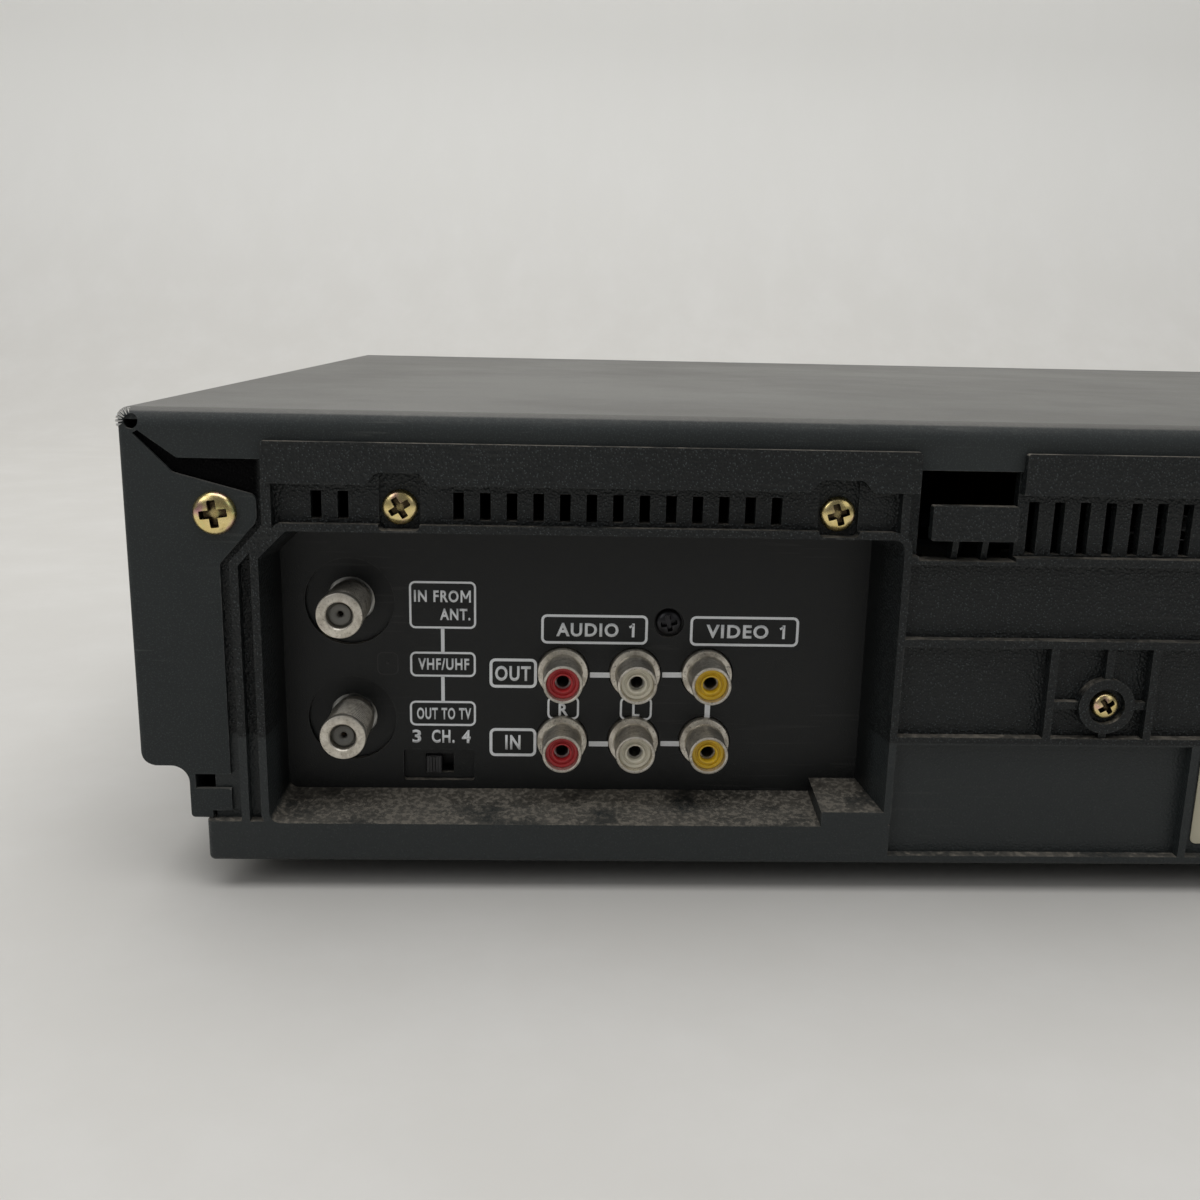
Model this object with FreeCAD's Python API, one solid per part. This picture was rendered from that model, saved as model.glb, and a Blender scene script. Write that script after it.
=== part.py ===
import FreeCAD, Part
import math
import os

# Video cassette recorder: a full-size front-loading deck with its terminals at the rear.
# Millimetres. +Z is up, the front faces -Y and the terminals face +Y. The origin is the
# middle of the footprint, on the surface that the feet stand on.

# Overall size
WIDTH = 430.0
DEPTH = 305.0
BODY_HEIGHT = 92.5
FOOT_HEIGHT = 6.5

# Clearances
SEAT_GAP = 0.1          # flat sheet lying on a moulding
FIT_GAP = 0.3           # parts that slide or turn past one another
BUTTON_GAP = 0.35       # round a button in its hole
SHAFT_FIT = 0.05        # radial clearance of a shaft in its bush

# Sheet steel top cover
SHEET = 0.8
COVER_BEND = 1.6        # outer radius where the top turns into the sides
LIP_BEND = 4.0          # outer radius where the top rolls down at the rear
FLANGE_BEND = 1.4       # outer radius where the sides turn in at the rear
LIP_DROP = 9.4
COVER_SET_BACK = 1.9    # rear plane of the cover, in from the hoods
SIDE_STEP = 9.8         # the skirt of each side is set in by this
STEP_HEIGHT = 20.3      # underside of the step, above the body's underside
STEP_BEND = 3.6
SKIRT_GAP = 9.1         # foot of the skirt, above the body's underside
SKIRT_LIP = 4.4
FLANGE_REACH = 18.2     # side flange, in from the side
EAR_REACH = 25.8        # the screwed ear of the flange, in from the side
EAR_TOP_DROP = 16.4     # heights on the ear, down from the top
EAR_LOW_DROP = 21.5
EAR_FOOT_DROP = 30.1
MITRE_DROP = 12.2       # where the flange's top edge leaves the mitre slot
MITRE_REACH = 10.0
RELIEF_RADIUS = 1.4     # round corner relief of the bends
RELIEF_INSET = 2.6
TAB_TOP = 15.4          # lower tab of the flange, above the body's underside
TAB_SLIT = 3.1

# Screws
COVER_SCREW_HEAD = 8.5
PANEL_SCREW_HEAD = 7.0
BOSS_SCREW_HEAD = 5.6
TERMINAL_SCREW_HEAD = 5.6
SCREW_SHANK = 3.0
SCREW_LENGTH = 8.0
SCREW_HEAD_HEIGHT = 1.8

# Rear moulding: across X from the middle, up Z from the body's underside
WALL = 2.2
RIM_SET_BACK = 0.5      # ribs and rims, in from the hoods
RIB = 1.6
APRON_HALF_WIDTH = WIDTH / 2 - 13.2
APRON_TOP = 8.5
APRON_RADIUS = 1.2
HOOD_THICK = 1.6
HOOD_LOW = 78.7
HOOD_TOP = 86.8
HOOD_1_LEFT = 187.7
HOOD_1_RIGHT = 59.9
HOOD_2_LEFT = 39.2
HOOD_2_RIGHT = -150.0
ARCH_HALF = 4.6
ARCH_RISE = 2.4
SLOT_WIDTH = 2.1
SLOT_PITCH = 5.225
VENT_LOW = 71.6
VENT_TOP = 77.1
VENT_2_LOW = 66.5
VENT_1_START = 151.2
VENT_1_COUNT = 13
VENT_PAIR_START = 178.9
VENT_PAIR_COUNT = 2
VENT_2_START = 37.1
VENT_2_COUNT = 32
SCREW_1_X = 161.6
SCREW_2_X = 75.2
PANEL_SCREW_Z = 74.0
POCKET_WIDTH = 8.0
POCKET_LOW = 69.7
COVER_SCREW_X = WIDTH / 2 - 17.8
COVER_SCREW_Z = 72.5

# Terminal recess
RECESS_LEFT = 189.0
RECESS_RIGHT = 62.0
RECESS_LOW = 8.5
RECESS_TOP = 69.3
RECESS_DEPTH = 15.0
RECESS_CORNER = 2.2
RECESS_CHAMFER = 5.5
FLOOR_DRAFT = 1.0
FLOOR_DRAFT_RIGHT = 2.8
FLOOR_RISE = 2.0
BLOCK_WIDTH = 13.0      # raised block in the recess's lower corner
BLOCK_RISE = 3.2

# Terminals, across X from the middle and up Z from the body's underside
RF_X = 174.0
RF_LOW = 26.4
RF_PITCH = 25.6
RF_RADIUS = 4.76
RF_LENGTH = 12.5
RF_BORE = 2.7
RF_NECK = 4.2
RF_NECK_LENGTH = 1.4
COUNTERBORE = 9.3
COUNTERBORE_DEPTH = 1.2
RCA_X = 98.4
RCA_PITCH_X = 15.4
RCA_LOW = 21.9
RCA_PITCH_Z = 15.2
RCA_RADIUS = 4.15
RCA_LENGTH = 9.3
RCA_WALL = 0.75
RCA_COLLAR = 5.4
RCA_COLLAR_LENGTH = 1.3
RCA_PIN_HOLE = 1.65
TERMINAL_SCREW_X = 106.9
TERMINAL_SCREW_Z = 48.3
SWITCH_X = 155.65
SWITCH_Z = 15.9
SWITCH_WIDTH = 6.1
SWITCH_HEIGHT = 4.3
SWITCH_DISH_WIDTH = 15.2
SWITCH_DISH_HEIGHT = 7.0
SWITCH_DISH_DEPTH = 1.2
SWITCH_TRAVEL = 2.4
SWITCH_KNOB = 3.2

# Latch hook between the two hoods
LATCH_LEFT = 57.0
LATCH_RIGHT = 39.8
LATCH_LOW = 69.4
LATCH_TOP = 76.4
NOTCH_LEFT = 59.0
NOTCH_RIGHT = 39.4
NOTCH_LOW = 65.3

# Ribbed bays right of the terminals
BAY_LEFT = 60.5
BAY_RIGHT = 20.4 - WIDTH / 2
BAY_RIBS = (65.3, 48.3, 27.5)
BAY_DIVIDER = -3.2
BOSS_X = 17.5
BOSS_2_X = -105.5
BOSS_Z = 35.3
BOSS_RADIUS = 5.8
BOSS_BORE = 3.8
BOSS_FRAME_LEFT = 28.6
BOSS_FRAME_RIGHT = 7.6
BOSS_FRAME_TOP = 48.3

# Mains inlet, low at the other end of the rear
INLET_X = 39.0 - WIDTH / 2
INLET_Z = 18.0
INLET_WIDTH = 21.5
INLET_HEIGHT = 12.0
INLET_DEPTH = 20.0
INLET_PIN = 1.2
INLET_PIN_PITCH = 8.6

# Front bezel, across X from the middle and up Z from the body's underside
BEZEL_DEPTH = 14.0
BEZEL_WALL = 2.5
BEZEL_ROUND = 3.0
BEZEL_RAKE = 2.2        # the upper half leans back by this at the top
BEZEL_BREAK = 55.0      # height where the lean starts
BEZEL_GROOVE = 1.2
DECK_X = -20.0          # middle of the cassette slot and of the tape deck
DECK_Y = 0.0            # the tape deck's own middle, across the body's depth
SLOT_HALF = 100.0
SLOT_LOW = 59.0
SLOT_TOP = 89.6
DOOR_THICK = 2.0
DOOR_PIN = 1.0
DOOR_KNUCKLE = 1.9
DOOR_OPEN = 86.0
SPRING_WIRE = 0.5
SPRING_TURNS = 5
WINDOW_HALF = 92.0
WINDOW_LOW = 20.0
WINDOW_TOP = 48.0
WINDOW_THICK = 2.0
WINDOW_DISH = 1.2

# Buttons: across X, up Z from the body's underside, width, height
BUTTON_TRAVEL = 1.5
BUTTON_STAND = 0.8      # proud of the bezel's face
BUTTON_ROUND = 1.2
BUTTON_SKIRT = 1.0      # flange behind the bezel that keeps a button in
POWER_BUTTON = (-178.0, 70.0, 26.0, 11.0)
EJECT_BUTTON = (108.0, 74.0, 22.0, 9.0)
PLAY_BUTTON = (146.0, 56.0, 34.0, 12.0)
STOP_BUTTON = (146.0, 40.5, 34.0, 10.0)
REWIND_BUTTON = (113.5, 48.5, 22.0, 12.0)
FORWARD_BUTTON = (178.5, 48.5, 22.0, 12.0)
PAUSE_BUTTON = (178.5, 74.0, 22.0, 9.0)
RECORD_BUTTON = (146.0, 74.0, 22.0, 9.0)
ROCKER_X = -178.0
ROCKER_Z = 42.0
ROCKER_WIDTH = 14.0
ROCKER_HEIGHT = 28.0
ROCKER_TILT = 3.0
FRONT_JACK_X = 150.0
FRONT_JACK_Z = 17.0
FRONT_JACK_PITCH = 17.0
FRONT_JACK_COUNT = 3
FRONT_JACK_DISH = 6.5

# Chassis moulding and feet
TRAY_FLOOR = 2.2
TRAY_WALL = 2.0
TRAY_RIB = 1.6
TRAY_RIB_HEIGHT = 3.0
TRAY_RIB_PITCH_X = 50.0
TRAY_RIB_PITCH_Y = 60.0
TRAY_RIB_Y = 10.0
POST_RADIUS = 4.0
FOOT_RADIUS = 13.0
FOOT_PAD_RADIUS = 11.0
FOOT_INSET_X = 38.0
FOOT_INSET_Y = 38.0
FOOT_PLUG_RADIUS = 3.0
FOOT_PLUG_HEIGHT = 4.0

# Circuit boards
BOARD_THICK = 1.6
BOARD_LIFT = 8.5        # main board above the body's underside
BOARD_SPLIT = -136.0    # gap between the power board and the main board
BOARD_GAP = 3.0
BOARD_MARGIN = 8.0
POWER_BOARD_FRONT = 54.0  # front edge of the power board, behind the main board's
CAN_X = 177.0           # tuner can
CAN_WIDTH = 30.0
CAN_DEPTH = 46.0
CAN_HEIGHT = 52.0
TRANSFORMER_Y = 58.0
TRANSFORMER_SIZE = (42.0, 36.0, 32.0)

# Cassette and its carriage
TAPE_WIDTH = 188.0
TAPE_DEPTH = 104.0
TAPE_THICK = 25.0
TAPE_UP = 59.5          # underside of the cassette in the slot, above the body's underside
TAPE_PLAY = 1.0
CARRIAGE_FRONT = 36.0   # front of the carriage, behind the bezel's face
TAPE_REEL_BACK = 53.5   # front of a loaded cassette to the reels' axes
CARRIAGE_DOWN = 20.5
CARRIAGE_SHEET = 1.0
LEDGE_WIDTH = 22.0
LEDGE_LENGTH = 74.0
SIDE_LENGTH = 82.0
SLIDER_GAP = 1.0
RAIL_SHEET = 1.2
RAIL_END_Y = DECK_Y + 49.5
STUD_RADIUS = 1.8
STUD_SPAN = 50.0

# Deck plate: up Z from the body's underside
DECK_Z = 31.5
DECK_SHEET = 1.5
DECK_HALF = 110.0
DECK_REAR = 5.5         # deck plate behind the drum's base
REEL_PITCH = 92.0
REEL_Y = DECK_Y - 3.0
REEL_RADIUS = 22.0
REEL_FLANGE = 3.0
REEL_HUB = 6.0
REEL_HUB_HEIGHT = 15.0
REEL_TEETH = 6
REEL_LIFT = 1.5
REEL_PIN = 2.5

# Head drum
DRUM_Y = DECK_Y + 92.0
DRUM_RADIUS = 31.0
DRUM_TILT = 5.97
DRUM_BASE_RADIUS = 34.0
DRUM_BASE_HEIGHT = 5.0
DRUM_HOLE = 22.0        # radius of the deck plate's hole under the drum
DRUM_LOWER = 14.0
DRUM_UPPER = 13.0
DRUM_GAP = 0.5
DRUM_SHAFT = 3.0
LEAD_RADIUS = 31.6
LEAD_HEIGHT = 7.0
LEAD_SKIRT = 8.0

# Capstan, belt and clutch
CAPSTAN_X = 72.0
CAPSTAN_Y = DECK_Y + 62.0
CAPSTAN_RADIUS = 2.0
CAPSTAN_TOP = 26.0      # above the deck plate
CAPSTAN_BUSH = 4.5
BEARING_RISE = 5.0      # the bearing tube stops short of the pinch roller
FLYWHEEL_RADIUS = 25.0
FLYWHEEL_THICK = 7.0
FLYWHEEL_DROP = 5.0
CAPSTAN_PULLEY = 8.0
PULLEY_THICK = 3.4
PULLEY_RIM = 1.0
CLUTCH_Y = DECK_Y + 30.0
CLUTCH_PULLEY = 20.0
CLUTCH_WHEEL = 12.0
CLUTCH_SHAFT = 2.0
BELT_THICK = 1.2
BELT_WIDTH = 2.0
IDLER_RADIUS = 19.5
IDLER_THICK = 3.0
IDLER_SHAFT = 1.5
IDLER_ARM = 1.2
IDLER_SWING = 7.0

# Pinch roller
PINCH_PIVOT_X = 98.0
PINCH_PIVOT_Y = DECK_Y + 60.0
PINCH_RADIUS = 7.0
PINCH_HEIGHT = 15.0
PINCH_SWING = 30.0
PINCH_ARM_THICK = 2.0
PINCH_PIN = 1.5

# Tape guides, from the deck's middle
GUIDE_START_X = 30.0
GUIDE_START_Y = DECK_Y + 42.0
GUIDE_END_X = 48.0
GUIDE_END_Y = DECK_Y + 104.0
GUIDE_SWEEP_RADIUS = 60.0
GUIDE_BLOCK = 11.0
GUIDE_BLOCK_THICK = 5.0
GUIDE_STEM = 2.2
GUIDE_ROLLER = 3.0
GUIDE_ROLLER_HEIGHT = 15.0
GUIDE_SLOT = 5.4

# Other deck pieces
CAM_X = -58.0
CAM_Y = DECK_Y + 24.0
CAM_RADIUS = 24.0
CAM_THICK = 5.0
CAM_TEETH = 60
CAM_TURN = 180.0
CAM_SHAFT = 2.5
MOTOR_SIZE = (24.0, 34.0, 13.0)
TENSION_PIVOT_X = -88.0
TENSION_PIVOT_Y = DECK_Y + 58.0
TENSION_POST_X = -70.0
TENSION_POST_Y = DECK_Y + 44.0
TENSION_SWING = 30.0
ERASE_HEAD_X = -68.0
ERASE_HEAD_Y = DECK_Y + 80.0
AUDIO_HEAD_X = 67.0
AUDIO_HEAD_Y = DECK_Y + 86.0

# Datums that follow from the sizes
HALF_W = WIDTH / 2
FRONT_Y = -DEPTH / 2
REAR_Y = DEPTH / 2
BASE_Z = FOOT_HEIGHT
TOP_Z = BASE_Z + BODY_HEIGHT
COVER_FRONT = FRONT_Y + BEZEL_DEPTH
COVER_REAR = REAR_Y - COVER_SET_BACK
BAY_Y = COVER_REAR - SHEET - SEAT_GAP
PANEL_IN = BAY_Y - WALL
RIM_Y = REAR_Y - RIM_SET_BACK
FLOOR_Y = REAR_Y - RECESS_DEPTH
FLOOR_IN = FLOOR_Y - WALL
LIP_Z = TOP_Z - LIP_DROP
SKIRT_Z = BASE_Z + SKIRT_GAP
TRAY_TOP = BASE_Z + TRAY_FLOOR
BOARD_Z = BASE_Z + BOARD_LIFT
BOARD_TOP = BOARD_Z + BOARD_THICK
DECK_LOW = BASE_Z + DECK_Z
DECK_TOP = DECK_LOW + DECK_SHEET


def vec(x, y, z):
    return FreeCAD.Vector(x, y, z)


X_AXIS = vec(1, 0, 0)
Y_AXIS = vec(0, 1, 0)
Z_AXIS = vec(0, 0, 1)


def box(x0, x1, y0, y1, z0, z1):
    """A block between two limits on each axis."""
    low = vec(min(x0, x1), min(y0, y1), min(z0, z1))
    return Part.makeBox(abs(x1 - x0), abs(y1 - y0), abs(z1 - z0), low)


def rod(x, y, z, radius, length, axis=Z_AXIS):
    """A cylinder from a point along an axis."""
    return Part.makeCylinder(radius, length, vec(x, y, z), axis)


def rounded_wire(points, place):
    """A closed outline from (a, b) or (a, b, corner radius) points.

    place turns each flat (a, b) into a point in space.
    """
    count = len(points)
    edges = []
    last_end = None
    first_start = None
    for index in range(count):
        a, b, radius = (tuple(points[index]) + (0.0,))[:3]
        before = points[index - 1]
        after = points[(index + 1) % count]
        ua, ub = before[0] - a, before[1] - b
        va, vb = after[0] - a, after[1] - b
        lu, lv = math.hypot(ua, ub), math.hypot(va, vb)
        ua, ub, va, vb = ua / lu, ub / lu, va / lv, vb / lv
        if radius > 0:
            half = math.acos(max(-1.0, min(1.0, ua * va + ub * vb))) / 2
            reach = radius / math.tan(half)
            start = (a + ua * reach, b + ub * reach)
            end = (a + va * reach, b + vb * reach)
            ma, mb = ua + va, ub + vb
            lm = math.hypot(ma, mb)
            far = radius / math.sin(half) - radius
            middle = (a + ma / lm * far, b + mb / lm * far)
        else:
            start = end = (a, b)
        if last_end is None:
            first_start = start
        elif math.hypot(last_end[0] - start[0], last_end[1] - start[1]) > 1e-6:
            edges.append(Part.LineSegment(place(*last_end), place(*start)).toShape())
        if radius > 0:
            edges.append(Part.Arc(place(*start), place(*middle), place(*end)).toShape())
        last_end = end
    if math.hypot(last_end[0] - first_start[0], last_end[1] - first_start[1]) > 1e-6:
        edges.append(Part.LineSegment(place(*last_end), place(*first_start)).toShape())
    return Part.Wire(edges)


def prism_y(points, y0, y1):
    """An outline in X and Z, run along Y."""
    wire = rounded_wire(points, lambda a, b: vec(a, y0, b))
    return Part.Face(wire).extrude(vec(0, y1 - y0, 0))


def prism_x(points, x0, x1):
    """An outline in Y and Z, run along X."""
    wire = rounded_wire(points, lambda a, b: vec(x0, a, b))
    return Part.Face(wire).extrude(vec(x1 - x0, 0, 0))


def prism_z(points, z0, z1):
    """An outline in X and Y, run along Z."""
    wire = rounded_wire(points, lambda a, b: vec(a, b, z0))
    return Part.Face(wire).extrude(vec(0, 0, z1 - z0))


def pad(x0, x1, z0, z1, radius):
    """Corner points of a rounded rectangle."""
    return [(x0, z0, radius), (x1, z0, radius), (x1, z1, radius), (x0, z1, radius)]


def turned(points, origin, axis=Z_AXIS):
    """A turned piece: (radius, height) points of half its section."""
    place = FreeCAD.Placement(origin, FreeCAD.Rotation(Z_AXIS, axis))
    wire = rounded_wire(points, lambda a, b: vec(a, 0, b))
    solid = Part.Face(wire).revolve(vec(0, 0, 0), Z_AXIS, 360)
    solid.Placement = place
    return solid


def join(shapes):
    """One solid out of several that touch."""
    first, rest = shapes[0], shapes[1:]
    if rest:
        first = first.multiFuse(rest)
    return first.removeSplitter()


def cut(shape, tools):
    """A shape less each of its tools."""
    return shape.cut(tools) if tools else shape


def group(shapes):
    """Separate solids that share a node."""
    return Part.makeCompound(shapes)


def mirrored(shape):
    """The same shape on the other side of the middle."""
    return shape.mirror(vec(0, 0, 0), X_AXIS)


def moved(shape, x=0.0, y=0.0, z=0.0):
    """A copy of a shape, shifted."""
    copy = shape.copy()
    copy.translate(vec(x, y, z))
    return copy


def screw(x, y, z, head, axis=Y_AXIS, shank=SCREW_SHANK, length=SCREW_LENGTH):
    """A pan-head screw with a cross recess; (x, y, z) is under its head."""
    radius = head / 2
    high = SCREW_HEAD_HEIGHT
    profile = [
        (0, -length),
        (shank / 2, -length),
        (shank / 2, 0),
        (radius, 0),
        (radius, high * 0.45, high * 0.4),
        (radius * 0.62, high, high * 0.5),
        (0, high),
    ]
    body = turned(profile, vec(0, 0, 0))
    arm = radius * 0.5
    slit = head * 0.055
    cross = [
        box(-arm, arm, -slit, slit, high * 0.35, high + 1),
        box(-slit, slit, -arm, arm, high * 0.35, high + 1),
    ]
    body = cut(body, cross)
    body.Placement = FreeCAD.Placement(vec(x, y, z), FreeCAD.Rotation(Z_AXIS, axis))
    return body


# Housing

def cover_section(inset):
    """Outline of the cover across its width, inset by a sheet thickness or by nothing."""
    side = HALF_W - inset
    skirt = side - SIDE_STEP
    step = BASE_Z + STEP_HEIGHT + (inset if inset else 0.0)
    foot = SKIRT_Z + inset
    outer = STEP_BEND - inset if inset else STEP_BEND
    inner = STEP_BEND + inset if inset else STEP_BEND
    top = max(COVER_BEND - inset, 0.3)
    half = [
        (skirt, foot, top / 2),
        (skirt, step, inner),
        (side, step, outer),
        (side, TOP_Z - inset, top),
    ]
    return half + [(-x, z, r) for x, z, r in reversed(half)]


def cover_window():
    """Half of the opening that the cover leaves at the rear, right of the middle."""
    flange = HALF_W - FLANGE_REACH
    ear = HALF_W - EAR_REACH
    tip = HALF_W - RELIEF_INSET
    return [
        (0, LIP_Z),
        (HALF_W - MITRE_REACH - 1, LIP_Z, 1.0),
        (tip - 1.2, TOP_Z - RELIEF_INSET - 1.6),
        (tip - 0.2, TOP_Z - RELIEF_INSET - 2.2),
        (HALF_W - MITRE_REACH, TOP_Z - MITRE_DROP, 1.5),
        (ear, TOP_Z - EAR_TOP_DROP, 1.6),
        (ear, TOP_Z - EAR_LOW_DROP, 3.0),
        (flange, TOP_Z - EAR_FOOT_DROP, 1.5),
        (flange, BASE_Z - 2),
        (0, BASE_Z - 2),
    ]


def cover_block(inset):
    """The cover's outer or inner form, with the bends of its rear edges."""
    front, rear = COVER_FRONT - inset, COVER_REAR - inset
    side, top = HALF_W - inset, TOP_Z - inset
    across = prism_y(cover_section(inset), front, rear)
    roll = prism_x([(front, BASE_Z), (rear, BASE_Z), (rear, top, LIP_BEND - inset), (front, top)],
                   -HALF_W, HALF_W)
    bends = prism_z([(-side, front), (side, front), (side, rear, FLANGE_BEND - inset),
                     (-side, rear, FLANGE_BEND - inset)], BASE_Z, TOP_Z)
    return across.common(roll).common(bends)


def top_cover():
    """Sheet steel cover: top, stepped sides, a rolled rear lip and two rear flanges."""
    shell = cover_block(0.0)
    hollow = cover_block(SHEET)
    window = prism_y(cover_window(), COVER_REAR - SHEET - 0.5, REAR_Y)
    relief = rod(HALF_W - RELIEF_INSET, COVER_REAR - SHEET - 0.5, TOP_Z - RELIEF_INSET,
                 RELIEF_RADIUS, SHEET + 2, Y_AXIS)
    open_foot = HALF_W - SIDE_STEP - SKIRT_LIP
    foot = box(-open_foot, open_foot, COVER_FRONT - 1, REAR_Y, BASE_Z, SKIRT_Z + 1.5)
    slit = box(HALF_W - FLANGE_REACH - 1, HALF_W - SIDE_STEP - SHEET - 0.4,
               COVER_REAR - SHEET - 0.5, REAR_Y, BASE_Z + TAB_TOP, BASE_Z + TAB_TOP + TAB_SLIT)
    tools = [hollow, window, mirrored(window), relief, mirrored(relief), foot, slit, mirrored(slit)]
    shell = cut(shell, tools)
    hole = rod(COVER_SCREW_X, COVER_REAR - 3, BASE_Z + COVER_SCREW_Z,
               SCREW_SHANK / 2 + SEAT_GAP, 6, Y_AXIS)
    return cut(shell, [hole, mirrored(hole)])


def edge_lies(edge, x=None, y=None, z=None):
    """Whether all of an edge lies at the given coordinates."""
    bounds = edge.BoundBox
    limits = (
        (x, bounds.XMin, bounds.XMax),
        (y, bounds.YMin, bounds.YMax),
        (z, bounds.ZMin, bounds.ZMax),
    )
    return all(want is None or (abs(low - want) < 0.01 and abs(high - want) < 0.01)
               for want, low, high in limits)


def hood_outline(left, right, arches):
    """A hood seen from the rear: a long strip whose lower edge arches over each screw."""
    low = BASE_Z + HOOD_LOW
    top = BASE_Z + HOOD_TOP
    points = [(left, low), (left, top, 0.6), (right, top, 0.6), (right, low)]
    for x in sorted(arches):
        points += [
            (x - ARCH_HALF - 1.6, low, 1.2),
            (x - ARCH_HALF + 0.4, low + ARCH_RISE, 1.6),
            (x + ARCH_HALF - 0.4, low + ARCH_RISE, 1.6),
            (x + ARCH_HALF + 1.6, low, 1.2),
        ]
    return points


def hood(left, right, arches):
    """A hood that hooks over the cover's rear lip."""
    outer = prism_y(hood_outline(left, right, arches), BAY_Y - 0.5, REAR_Y)
    lip_room = box(left + 1, right - 1, BAY_Y - 1, REAR_Y - HOOD_THICK,
                   LIP_Z - FIT_GAP, TOP_Z)
    return cut(outer, [lip_room])


def slots(start, count, low, top, first_y, last_y):
    """A row of upright vent slots."""
    tools = []
    for index in range(count):
        x = start - index * SLOT_PITCH
        tools.append(box(x - SLOT_WIDTH, x, first_y, last_y, BASE_Z + low, BASE_Z + top))
    return tools


def screw_pocket(x):
    """The square pocket under an arch, open to the panel screw's head."""
    half = POCKET_WIDTH / 2
    low = BASE_Z + POCKET_LOW
    top = BASE_Z + HOOD_LOW + ARCH_RISE
    return prism_y(pad(x - half, x + half, low, top, 1.0), BAY_Y - 0.8, REAR_Y + 1)


def recess_outline(grow, draft):
    """The terminal recess at its mouth, or drawn in by its draft."""
    left = RECESS_LEFT - draft * FLOOR_DRAFT + grow
    right = RECESS_RIGHT + draft * FLOOR_DRAFT_RIGHT - grow
    low = BASE_Z + RECESS_LOW + draft * FLOOR_RISE - grow
    top = BASE_Z + RECESS_TOP - draft * FLOOR_DRAFT + grow
    corner = RECESS_CORNER + max(grow, 0)
    return [
        (right, low, corner),
        (left, low, corner),
        (left, top - RECESS_CHAMFER, 1.0),
        (left - RECESS_CHAMFER, top, 1.0),
        (right, top, corner),
    ]


def drawn(outer_points, inner_points, y0, y1):
    """A straight-sided form between two outlines in X and Z."""
    first = rounded_wire(outer_points, lambda a, b: vec(a, y0, b))
    last = rounded_wire(inner_points, lambda a, b: vec(a, y1, b))
    return Part.makeLoft([first, last], True, True)


def recess_shell():
    """The box that the terminal recess is moulded in, without its pocket."""
    return drawn(recess_outline(RIB, 0), recess_outline(RIB, 1), RIM_Y, FLOOR_IN)


def recess_pocket():
    """The recess itself, less the raised block in its lower corner."""
    pocket = drawn(recess_outline(0, -0.1), recess_outline(0, 1), RIM_Y + 1, FLOOR_Y)
    low = BASE_Z + RECESS_LOW
    block = prism_x(
        [
            (RIM_Y + 2, low - 3),
            (RIM_Y + 2, low + BLOCK_RISE),
            (RIM_Y - 1, low + BLOCK_RISE),
            (FLOOR_Y - 1, low + BLOCK_RISE + FLOOR_RISE),
            (FLOOR_Y - 1, low - 3),
        ],
        RECESS_RIGHT - 3,
        RECESS_RIGHT + BLOCK_WIDTH,
    )
    return pocket.cut(block)


def rf_places():
    """Axes of the two aerial sockets."""
    low = BASE_Z + RF_LOW
    return [(RF_X, low + RF_PITCH), (RF_X, low)]


def rca_places(column):
    """Axes of the two phono sockets in a column, counted from the right."""
    x = RCA_X + column * RCA_PITCH_X
    low = BASE_Z + RCA_LOW
    return [(x, low + RCA_PITCH_Z), (x, low)]


def terminal_holes():
    """Holes and dished seats in the recess's floor."""
    tools = []
    for x, z in rf_places():
        tools.append(rod(x, FLOOR_Y - COUNTERBORE_DEPTH, z, COUNTERBORE, 3, Y_AXIS))
        tools.append(rod(x, FLOOR_IN - 4, z, RF_RADIUS + FIT_GAP, 10, Y_AXIS))
    for column in range(3):
        for x, z in rca_places(column):
            tools.append(rod(x, FLOOR_IN - 1, z, RCA_COLLAR + FIT_GAP, 6, Y_AXIS))
    z = BASE_Z + TERMINAL_SCREW_Z
    tools.append(rod(TERMINAL_SCREW_X, FLOOR_Y - 0.8, z, TERMINAL_SCREW_HEAD / 2 + 0.4, 3, Y_AXIS))
    tools.append(rod(TERMINAL_SCREW_X, FLOOR_IN - 1, z, SCREW_SHANK / 2 + SEAT_GAP, 4, Y_AXIS))
    z = BASE_Z + SWITCH_Z
    half, high = SWITCH_DISH_WIDTH / 2, SWITCH_DISH_HEIGHT / 2
    dish = pad(SWITCH_X - half, SWITCH_X + half, z - high, z + high, 0.6)
    tools.append(prism_y(dish, FLOOR_Y - SWITCH_DISH_DEPTH, FLOOR_Y + 1))
    half, high = SWITCH_WIDTH / 2, SWITCH_HEIGHT / 2
    tools.append(box(SWITCH_X - half, SWITCH_X + half, FLOOR_IN - 1, FLOOR_Y + 1, z - high, z + high))
    return tools


def counterbore_seats():
    """Bosses behind the floor where the aerial sockets' seats are dished."""
    return [rod(x, FLOOR_IN - COUNTERBORE_DEPTH, z, COUNTERBORE + 1.2, WALL, Y_AXIS)
            for x, z in rf_places()]


def panel_plate():
    """The flat back wall that everything at the rear stands on."""
    side = HALF_W - SHEET - 2 * FIT_GAP
    skirt = side - SIDE_STEP - STEP_BEND
    step = BASE_Z + STEP_HEIGHT + SHEET + FIT_GAP
    half = [
        (skirt, BASE_Z + TRAY_FLOOR),
        (skirt, step, 1.0),
        (side, step, STEP_BEND),
        (side, TOP_Z - LIP_BEND - FIT_GAP, 2.0),
    ]
    outline = half + [(-p[0],) + tuple(p[1:]) for p in reversed(half)]
    return prism_y(outline, PANEL_IN, BAY_Y)


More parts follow.
